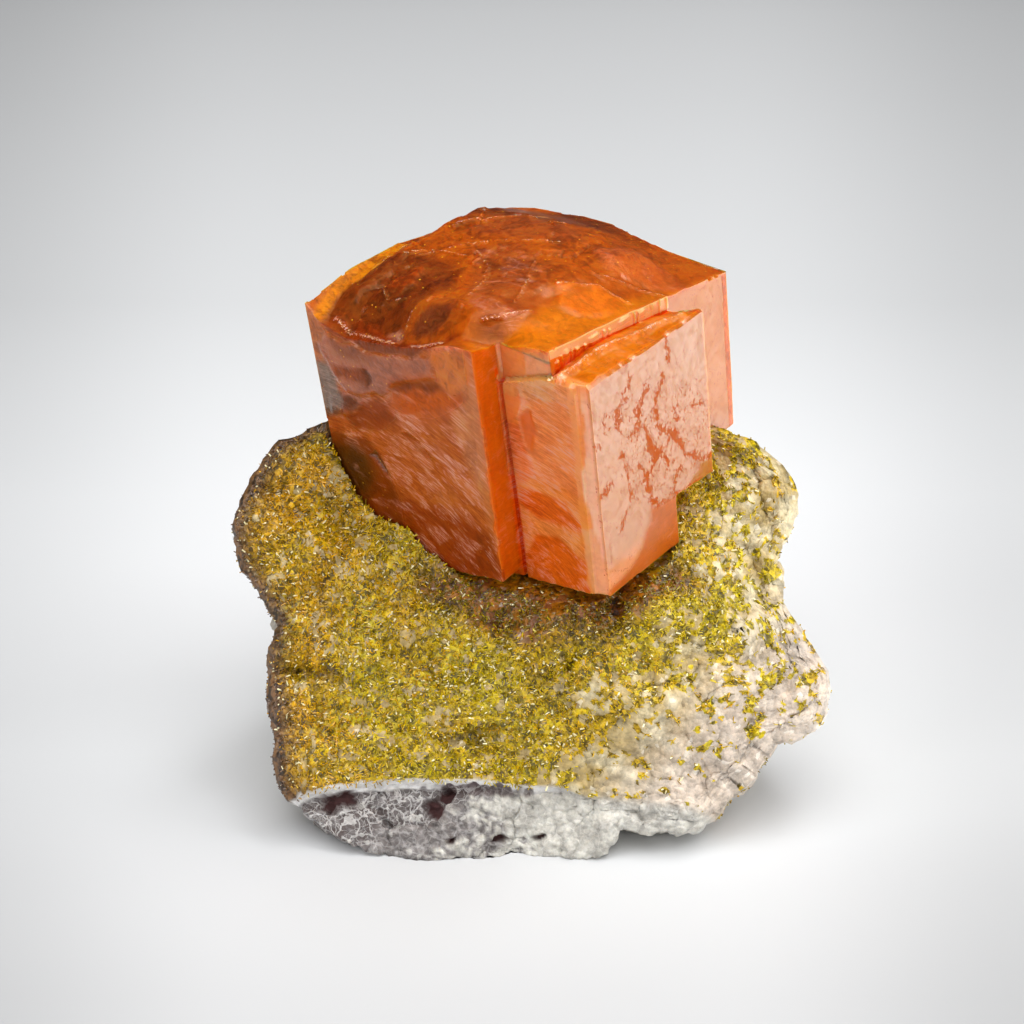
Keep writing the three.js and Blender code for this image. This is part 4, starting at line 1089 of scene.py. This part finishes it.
# Sparkling crests: lines across the top, with their half width.
CRESTS = [
    ([(1.6, 0.7), (2.7, 0.45), (4.8, 0.35), (6.6, 0.2)], 0.2), ([(8.0, 0.1), (10.2, 0.4)], 0.2),
    ([(11.6, 2.2), (12.4, 3.0), (13.2, 4.4)], 0.1), ([(6.9, 0.75), (6.6, 1.8), (7.5, 2.8)], 0.06),
    ([(12.6, 7.2), (13.9, 9.4), (15.6, 9.8)], 0.08),
    ([(13.2, 10.3), (14.8, 11.4), (16.1, 12.1)], 0.08),
    ([(2.5, 10.1), (2.9, 11.0), (3.6, 12.0), (4.9, 13.3), (7.4, 14.4)], 0.1),
    ([(2.3, 6.0), (3.3, 7.1), (4.6, 7.3), (6.0, 7.3)], 0.08),
    ([(3.0, 6.2), (6.0, 9.3), (9.6, 11.6)], 0.06),
    ([(6.2, 8.0), (7.9, 7.0), (9.0, 5.0), (9.4, 3.6)], 0.07),
    ([(9.8, 8.8), (11.2, 6.6), (12.0, 4.4)], 0.06), ([(3.4, 3.0), (4.4, 2.2), (5.5, 2.6)], 0.07),
    ([(0.9, 2.6), (1.4, 5.2), (1.3, 7.2)], 0.05),
]
# The ledge's own rough crest, across u and v, and its height along the wall and along its edge.
LEDGE_CREST = [(16.9, 1.9), (17.2, 3.0), (17.1, 5.0), (17.5, 7.0), (17.7, 9.0), (18.3, 11.0)]
LEDGE_WALL = [1.6, 3.0, 5.7, 9.1, 12.0], [7.35, 7.55, 7.55, 6.95, 6.2]
LEDGE_EDGE = [1.6, 2.8, 5.0, 8.4, 8.8, 11.8], [7.65, 7.7, 7.5, 7.2, 7.38, 7.2]

# Etched cracks of the block's right-hand face, as lines across v and w with their half width.
CRACKS = [
    ([(6.5, 5.1), (6.0, 4.6), (5.6, 3.9), (5.7, 3.2), (5.6, 2.8)], 0.13),
    ([(7.4, 4.2), (7.3, 3.6), (7.1, 3.1), (7.1, 2.7)], 0.15),
    ([(4.8, 5.4), (4.2, 5.3), (3.9, 4.9), (4.0, 4.2), (4.0, 3.7)], 0.08),
    ([(3.0, 5.1), (2.9, 4.3)], 0.08),
    ([(6.2, 2.6), (6.2, 1.8), (6.4, 1.0), (7.0, 0.1), (6.3, -0.2), (5.8, -0.5), (6.1, -1.4),
      (6.5, -2.3), (6.7, -2.7)], 0.13),
    ([(7.1, 2.7), (7.5, 1.9), (8.2, 1.4), (8.6, 0.8), (9.4, -0.2), (9.4, -0.8), (9.8, -1.3),
      (10.7, -1.7), (11.9, -2.5)], 0.12),
    ([(6.4, 1.5), (6.8, 0.9), (7.2, 0.3)], 0.3), ([(8.6, 0.8), (9.2, 0.0)], 0.22),
    ([(2.9, 0.9), (2.3, 0.8), (1.7, 0.5), (1.4, 0.3), (1.0, 0.5)], 0.12),
    ([(4.5, 0.0), (4.4, -0.4), (4.6, -1.2)], 0.07),
    ([(4.1, 2.1), (4.3, 1.4), (4.2, 1.0), (4.4, 0.4)], 0.07),
    ([(9.1, -1.5), (8.6, -1.8), (8.6, -2.2), (8.3, -2.6)], 0.09),
    ([(4.1, -1.6), (3.7, -2.0), (3.4, -2.5)], 0.07), ([(8.6, 7.6), (8.6, 6.7), (8.7, 5.6)], 0.1),
    ([(8.0, 5.3), (8.1, 4.9), (7.8, 4.6), (7.4, 4.2)], 0.08),
    ([(2.3, 3.7), (1.8, 3.8), (1.5, 3.8)], 0.06), ([(4.5, 5.9), (5.1, 5.9), (5.3, 6.4)], 0.05),
    ([(4.5, 7.9), (5.0, 7.3), (5.5, 7.3)], 0.05),
    ([(8.1, 0.8), (7.7, 0.2), (8.1, -0.7), (7.7, -1.1)], 0.09),
    ([(5.5, 0.6), (5.9, 0.1), (5.9, -0.6)], 0.08),
    ([(6.7, -2.7), (7.9, -3.0), (9.8, -3.3), (11.8, -3.7)], 0.05),
    ([(10.6, 2.0), (11.2, 1.4)], 0.06), ([(5.2, 3.4), (5.0, 2.6), (5.2, 2.0)], 0.05),
    ([(9.0, 2.6), (8.8, 2.0), (9.4, 1.6)], 0.07),
]
CRACK_FIELD = [
    (4.2, 6.1), (7.5, 5.2), (11.7, 2.9), (12.2, -0.4), (11.9, -3.0), (8.7, -2.8), (6.4, -2.5),
    (4.6, -1.6), (3.7, 3.8)]

skin = crystal_skin()
place = np.empty(len(skin.vertices) * 3, np.float32)
skin.vertices.foreach_get("co", place)
place = place.reshape(-1, 3).astype(float)
u, v, w = place.T.copy()

# Which face each point of the skin lies on.
top_height = slab_top(u, v)
in_slab = (u < SLAB_U + 0.1) & ((u < RETURN_U + NEAR) | (v > RETURN_V + 0.1))
from_notch = np.where(u > RETURN_U, v - NOTCH_V, v)
from_wall = np.minimum.reduce([u, SLAB_U - u, SLAB_V - v, from_notch])
before_notch = (v < NOTCH_V) & (u < RETURN_U)
from_wall = np.where(before_notch, np.minimum(from_wall, RETURN_U - u), from_wall)
on_top = in_slab & (w > 4) & (w > top_height - np.where(from_wall > 0.3, 1.2, 0.14))
on_front = (v < 0.12) & (u < RETURN_U + NEAR)
on_second = (v > 1.4) & (v < 2.05) & (u > RETURN_U) & (u < BLOCK_U - NEAR)
on_notch = (np.abs(u - RETURN_U) < NEAR) & (v > 0.1) & (v < RETURN_V + 0.1)
on_groove = (u > 12.6) & (u < 13.12) & (v > 1.55) & (v < 2.2) & (w < 7)
on_right = u > BLOCK_U - 0.2
on_slab_right = (np.abs(u - SLAB_U) < NEAR) & (v > 1.9)
on_ledge = (u > 12.9) & (v > 1.5) & (w > 5.5) & ~on_top & ~on_slab_right & ~on_right
on_outside = (u < 0.3) | (v > SLAB_V - 0.4) | ((u > SLAB_U + 0.3) & (v > 11.6))
on_back = on_outside & ~(on_top | on_front | on_right)

# The ground of each face: its colour, how much it mirrors and how streaky it is.
tint = np.tile(ORANGE, (len(u), 1))
for face, ground in [
    (on_top, AMBER), (on_front, SHEER), (on_second, PALE_ORANGE_GLOW), (on_right, SALMON),
    (on_slab_right, WALL_RED), (on_ledge, BRIGHT), (on_notch, NOTCH_ORANGE),
    # painted glow: the groove is painted bright orange, though it lies in shade
    (on_groove, GROOVE_GLOW_ORANGE),
]:
    tint[face] = ground
gloss = np.full(len(u), 0.1)
for face, mirror in [
    (on_top, 0.03), (on_front | on_second, 0.6),
    (on_right, np.interp(w[on_right], [-5, 0, 5], [0.52, 0.75, 1.0])),
    (on_slab_right, 0.6), (on_notch, 0.0),
]:
    gloss[face] = mirror
streaky = np.full(len(u), 0.3)
for face, streaks in [
    (on_front, 1.0), (on_second, 0.7), (on_right | on_slab_right | on_top, 0.0),
]:
    streaky[face] = streaks
lift = np.zeros(len(u))

# The fields are laid over it, with edges that wander a little.
for face, across, up, fields in [
    (on_front, u, w, FRONT_FIELDS),
    (on_second, u, w, SECOND_FRONT_FIELDS),
    (on_right, v, w, RIGHT_FIELDS),
    (on_top, u, v, TOP_FIELDS),
]:
    across = across[face] + 0.35 * (drift(place[face], 0.9, 91) - 0.5)
    up = up[face] + 0.35 * (drift(place[face], 0.9, 92) - 0.5)
    for outline, soft, shade, mirror, raised, streaks in fields:
        share = field(across, up, outline, soft)
        tint[face] = layered(tint[face], (shade, share))
        gloss[face] += (mirror - gloss[face]) * share
        streaky[face] += (streaks - streaky[face]) * share
        lift[face] += raised * share

tint[on_front] *= 0.86                       # the front face is turned from the light

# The left and back faces are plain but cloudy.
deeper = soft_step(drift(place[on_back], 3.0, 95), 0.3, 0.8) * 0.6
tint[on_back] = layered(ORANGE, (DEEP, deeper))
gloss[on_back] = 0.3

# Crests sparkle. Cracks are etched along jagged lines, and shallowly all over their field.
crest = np.zeros(len(u))
for points, half_width in CRESTS:
    crest = np.maximum(crest, np.exp(-(line_reach(u, v, points) / half_width) ** 2))
crest = crest * on_top
ledge_crest = np.exp(-(line_reach(u, v, LEDGE_CREST) / 0.28) ** 2)
jagged_v = v + 0.5 * (drift(place, 0.42, 93) - 0.5)
jagged_w = w + 0.5 * (drift(place, 0.42, 94) - 0.5)
from_crack = np.full(len(u), 9.0)
for points, half_width in CRACKS:
    from_crack = np.minimum(from_crack, line_reach(jagged_v, jagged_w, points) - half_width)
shallow = 0.26 * field(v, w, CRACK_FIELD, 0.8)
cracked = np.maximum(soft_step(-from_crack, -0.42, 0.34), shallow) * on_right

# The ledge runs from the slab's wall to the block's edge, rough along its crest.
outwards = np.clip((u - SLAB_U) / (BLOCK_U - SLAB_U), 0, 1)
ledge_height = np.interp(v, *LEDGE_WALL) * (1 - outwards) + np.interp(v, *LEDGE_EDGE) * outwards
ledge_height += 0.3 * ledge_crest + 0.14 * drift(place, 0.5, 99) - 0.07
ledge_height -= 0.55 * soft_step(17.2 - u, 0, 3.5) * soft_step(3.0 - v, 0, 1.2)
on_ledge &= (w > ledge_height - 1.2) & (w < ledge_height + 2.4)
crest = np.maximum(crest, 0.9 * ledge_crest * on_ledge)
wall = on_slab_right & (v < BLOCK_V + 0.2)
gloss = np.where(wall, 0.3, gloss)
# Painted light: the wall above the ledge is painted a bright orange where it lies in shade, and the
# red line along its foot is a painted glow.
tint[wall] = WALL_GLOW
tint[on_ledge & (u < SLAB_U + 0.3) & (v > 2.2)] = GLOW_RED
# Painted light: the narrow ledge by the notch lies in shade and is painted pale.
tint[on_ledge & (v < 2.3)] = LEDGE_LIT_PALE

# The faces are laid exactly in their planes, and then take their relief.
waves = 0.05 * drift(place, 1.4, 97) + 0.03 * drift(place, 0.6, 98)
wall_foot = [SLAB_U, SLAB_U + 0.2, SLAB_U + 0.5, BLOCK_U], [SLAB_U, SLAB_U, SLAB_U + 0.4, BLOCK_U]
w = np.where(on_ledge & (u > SLAB_U) & (v > 1.8), ledge_height, w)
u = np.where(on_ledge & (v > 1.9), np.interp(u, *wall_foot), u)
w = np.where(on_top, top_height + lift + 0.1 * crest + waves - 0.05, w)
v = np.where(on_front, -lift, v)
v = np.where(on_second & (np.abs(v - RETURN_V) < 0.12), RETURN_V - lift, v)
u = np.where(on_right, BLOCK_U, u)
u = np.where((on_slab_right | on_top & (v > 1.95)) & (np.abs(u - SLAB_U) < 0.12), SLAB_U, u)
finished = (np.column_stack([u, v, w]) @ CRYSTAL_AXES.T + CRYSTAL_CORNER) * MM
skin.vertices.foreach_set("co", finished.astype(np.float32).ravel())
skin.name = "wulfenite"
skin.shade_smooth()
skin.set_sharp_from_angle(angle=math.radians(32))

# The upper parts are the most clouded.
upper = np.where(on_top, 1 - 0.6 * soft_step(u - 0.35 * v, 8, 11), 0.3 * on_ledge)
upper = np.where(on_front & (u < 12), 0.8 * (1 - streaky), upper)
upper = np.where(on_back, 0.6, upper)
masks = {"gloss": gloss, "streaky": streaky, "cracks": cracked, "crest": crest, "upper": upper}
keep_values(skin, **{name: np.clip(mask, 0, 1) for name, mask in masks.items()}, tint=tint)
wulfenite = in_scene("wulfenite", skin)

FIBRE_U, FIBRE_W = 0.2, -18.0                # the point round which the front face's fibres run
FIBRE_SHIFT_U, FIBRE_SHIFT_W = 11.8, 7.0     # from there to the point of the face behind it
SPECK_YELLOW = (1.0, 0.5, 0.02)
WALL_STRIP_SHEEN = (1.0, 0.47, 0.20)
STROKE_HIGHLIGHT_PINK = (0.84, 0.37, 0.25)
ETCHED_RED = (0.50, 0.078, 0.0)
HAIRLINE_BROWN = (0.42, 0.07, 0.01)
GLINT_CREAM = (1.0, 0.6, 0.4)


def fibre_waves(tree, u, v, w):
    """Broad and fine waves across the fibres, which run in arcs: noise over the angle round a
    point and the distance from it, with a point for each of the two front faces."""
    behind = v > 0.8
    arc_u, arc_w = u - FIBRE_U - behind * FIBRE_SHIFT_U, w - FIBRE_W - behind * FIBRE_SHIFT_W
    reach = (arc_u * arc_u + arc_w * arc_w).math("SQRT")
    turn = arc_w.math("ARCTAN2", arc_u) * (20 - behind * 9)
    broad, fine = (
        add_node(tree, "ShaderNodeCombineXYZ", values=dict(enumerate(place)))
        for place in ((turn * 0.4, v * 0.8, reach * 0.9), (turn * 0.9, v, reach * 7.5)))
    return noise_at(tree, broad, 1.0, 4.0, 0.6, 0.7), noise_at(tree, fine, 1.0, 3.0, 0.6, 1.2)


def hairline_net(tree, axes, ragged):
    """Net of hairlines: the walls of bent upright cells, but only where the noise is high."""
    bent = scaled_place(tree, bent_place(tree, axes, 1.6, 1.0), (0.3, 0.8, 0.5))
    return cells_at(tree, bent, 1.0, "DISTANCE_TO_EDGE") < (ragged - 0.46) * 0.16


def wulfenite_material():
    """Cloudy orange crystal: part clear, part milky, streaked and mirroring in its own fields."""
    material, tree, shader, output = new_material("wulfenite")
    axes = add_node(tree, "ShaderNodeMapping", {"vector_type": "TEXTURE"}, {
        "Vector": object_place(tree), "Location": tuple(CRYSTAL_CORNER * MM),
        "Rotation": tuple(CRYSTAL_TURN), "Scale": (MM, MM, MM)})
    u, v, w = split_place(tree, axes)
    tint = kept_value(tree, "tint", colour=True)
    gloss, streaky, cracks, crest, upper = (kept_value(tree, name) for name in masks)

    # Clouds in the depth of the crystal, with darker swirls and a few bright specks.
    clouds = noise_at(tree, axes, 0.45, 3.0, distortion=1.0)
    swirls = noise_at(tree, axes, 1.0, 4.0, 0.6, 1.6)
    grain = noise_at(tree, axes, 4.0, 4.0)
    murk = clouds * 0.45 + swirls * 0.55 + (grain - 0.5) * 0.3
    depth = ramp_at(tree, murk, [
        (0.40, (0.42, 0.30, 0.25)), (0.49, (0.8, 0.72, 0.7)), (0.56, (1.0, 1.0, 1.0)),
        (0.64, (1.0, 1.25, 1.2))])
    body = mix_colours(tree, 0.2 + upper * 0.7, tint, depth, "MULTIPLY")
    speck = (cells_at(tree, axes, 1.7) < 0.09) * upper
    body = mix_colours(tree, speck * 0.8, body, SPECK_YELLOW)

    # Along its top the slab's wall above the ledge is painted pale peach: a painted reflection.
    strip = ((u > SLAB_U - 0.07) * (u < SLAB_U + 0.25) * (v > 2.0) * (v < BLOCK_V + 0.2)
             * (w + v * 0.2 > 8.85))
    body = mix_colours(tree, strip, body, WALL_STRIP_SHEEN)

    # Fibres, with pink strokes in patches: a painted highlight where they gleam, and there they
    # mirror.
    broad, fine = fibre_waves(tree, u, v, w)
    patches = mapped(tree, broad + gloss * 0.16, 0.54, 0.64)
    stroke_sheen = patches * mapped(tree, fine, 0.50, 0.56, 0.15, 1.0)
    fibre_shade = ramp_at(tree, broad * 0.45 + fine * 0.55, [
        (0.38, (0.55, 0.36, 0.25)), (0.5, (0.95, 0.86, 0.75)), (0.6, (1.2, 1.4, 1.8))])
    body = mix_colours(tree, streaky * 0.9, body, fibre_shade, "MULTIPLY")
    body = mix_colours(tree, stroke_sheen * streaky * 0.75, body, STROKE_HIGHLIGHT_PINK)

    # Etched cracks with ragged edges, a net of hairlines and pinholes. None of them is on the
    # second front face or on the slab's wall.
    ragged = noise_at(tree, scaled_place(tree, axes, (1.0, 1.5, 0.75)), 6.0, 3.0, 0.7)
    etched = cracks + (ragged - 0.5) * 2.6 > 0.5
    past_wall = (u > SLAB_U - NEAR) * (v - (u < SLAB_U + 0.25) * 10.0 > 1.9)
    hair = hairline_net(tree, axes, ragged) * past_wall
    pinholes = (cells_at(tree, axes, 2.3) < 0.1) * past_wall * (1 - upper)
    body = mix_colours(tree, etched, body, ETCHED_RED)
    body = mix_colours(tree, (hair * 0.6).math("MAXIMUM", pinholes * 0.9), body, HAIRLINE_BROWN)

    # Crests sparkle where their grains catch the light.
    glint = crest * 0.3 + noise_at(tree, axes, 8.0, 4.0, 0.7) > 0.79
    body = mix_colours(tree, glint * 0.65, body, GLINT_CREAM)

    # The faces mirror in patches, but not on fibres, cracks and hairlines.
    patchy = gloss * mapped(tree, swirls, 0.38, 0.6, 0.55, 1.0)
    mirror = patchy * (1 - streaky * (1 - stroke_sheen)) * (1 - etched) * (1 - hair * 0.5) + glint * 0.5
    relief = (broad * streaky * 0.4 + fine * streaky * 0.5 + swirls * upper * 0.8
              + grain * upper + crest * grain * 2.0 - etched * 0.6)
    set_shader(
        shader, Base_Color=body, Normal=bumped(tree, relief, 0.6, 0.0001), IOR=1.5,
        Roughness=0.3 - gloss * 0.2 + upper * 0.12 + etched * 0.5,
        Specular_Tint=(1.0, 0.5, 0.08, 1.0), Transmission_Weight=0.15, Subsurface_Weight=1.0,
        Subsurface_Scale=1.0, Subsurface_Radius=(0.0007, 0.0004, 0.00015),
        Coat_Weight=mirror, Coat_IOR=2.0, Coat_Roughness=0.05)
    depths = {"Color": (0.98, 0.45, 0.05, 1.0), "Density": 100}
    volume = add_node(tree, "ShaderNodeVolumeAbsorption", values=depths)
    tree.links.new(volume.socket, output.inputs["Volume"])
    return material


skin.materials.clear()
skin.materials.append(wulfenite_material())
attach(wulfenite, "root")
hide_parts("wulfenite_crystal")

# ---- floor and light ------------------------------------------------------------------------
# A pale studio floor that runs back out of sight in a dark room, with its light painted: lightest
# round the object, greyer with distance. Five soft lamps light it from round about, and a low
# bright card the crystal's right-hand face.

FLOOR_REACH = 1500
FLOOR_GREY = (0.765, 0.775, 0.785)


def floor_material():
    """Matt pale floor with painted light: lightest round the object, greyer to the sides, in front
    and far behind.
    """
    material, tree, shader, _ = new_material("studio_floor")
    x, y, _ = split_place(tree, object_place(tree))
    # Painted light: lightest just round the object, also in its shadow, and greyer to the sides, in
    # front and far behind.
    fan = (x + 0.001) / (y + 0.14).math("MAXIMUM", -0.1 - y) * 4.4 + 0.05
    sides = add_node(tree, "ShaderNodeMapRange", {"interpolation_type": "SMOOTHSTEP"}, {
        0: fan.math("ABSOLUTE"), 1: 0.45, 2: 1.15, 3: 1.0, 4: 0.76})
    back = ramp_at(tree, (y + 0.04) * 2.5, [
        (0.0, 0.72), (0.035, 0.78), (0.06, 0.86), (0.0925, 1.0), (0.19, 1.0), (0.31, 0.83),
        (0.53, 0.78), (0.69, 0.77), (1.0, 0.64)])
    shade = mix_colours(tree, 1.0, back, FLOOR_GREY, "MULTIPLY")
    shade = mix_colours(tree, sides, (0.0, 0.0, 0.0), shade)
    set_shader(shader, Base_Color=shade, Roughness=0.7, Specular_IOR_Level=0.2)
    return material


corners = np.array([[-1, -1, 0], [1, -1, 0], [1, 1, 0], [-1, 1, 0]]) * FLOOR_REACH
floor = made_mesh("floor", corners, [[0, 1, 2, 3]])
floor.data.materials.append(floor_material())


def soft_lamp(name, place, target, size, brightness):
    """Soft lamp of a size in millimetres that faces a target. Its power is its brightness times
    its area."""
    data = bpy.data.lights.new(name, "AREA")
    data.shape = "RECTANGLE"
    data.size, data.size_y = size[0] * MM, size[1] * MM
    data.energy = brightness * math.pi * data.size * data.size_y
    lamp = in_scene(name, data)
    lamp.location = Vector(place) * MM
    lamp.rotation_mode = "QUATERNION"
    lamp.rotation_quaternion = (Vector(target) - Vector(place)).to_track_quat("-Z", "Y")
    lamp.visible_camera = False


soft_lamp("overhead", (60, -110, 560), (0, 0, 10), (760, 560), 3.05)
soft_lamp("left_lamp", (-540, -300, 210), (0, 0, 10), (360, 380), 4.0)
soft_lamp("front_lamp", (340, -440, 180), (0, 0, 5), (300, 300), 3.0)
soft_lamp("right_lamp", (560, -40, 320), (0, 0, 10), (360, 440), 2.7)
soft_lamp("key", (160, 90, 545), (0, 0, 15), (180, 180), 4.6)
soft_lamp("right_card", (85, 0, 3), (85, 0, 200), (134, 150), 1.35)

world = bpy.data.worlds.new("dark_room")
world.use_nodes = True
world.node_tree.nodes["Background"].inputs["Color"].default_value = (0.07, 0.07, 0.072, 1)
bpy.context.scene.world = world
bpy.context.scene.view_settings.view_transform = "Standard"
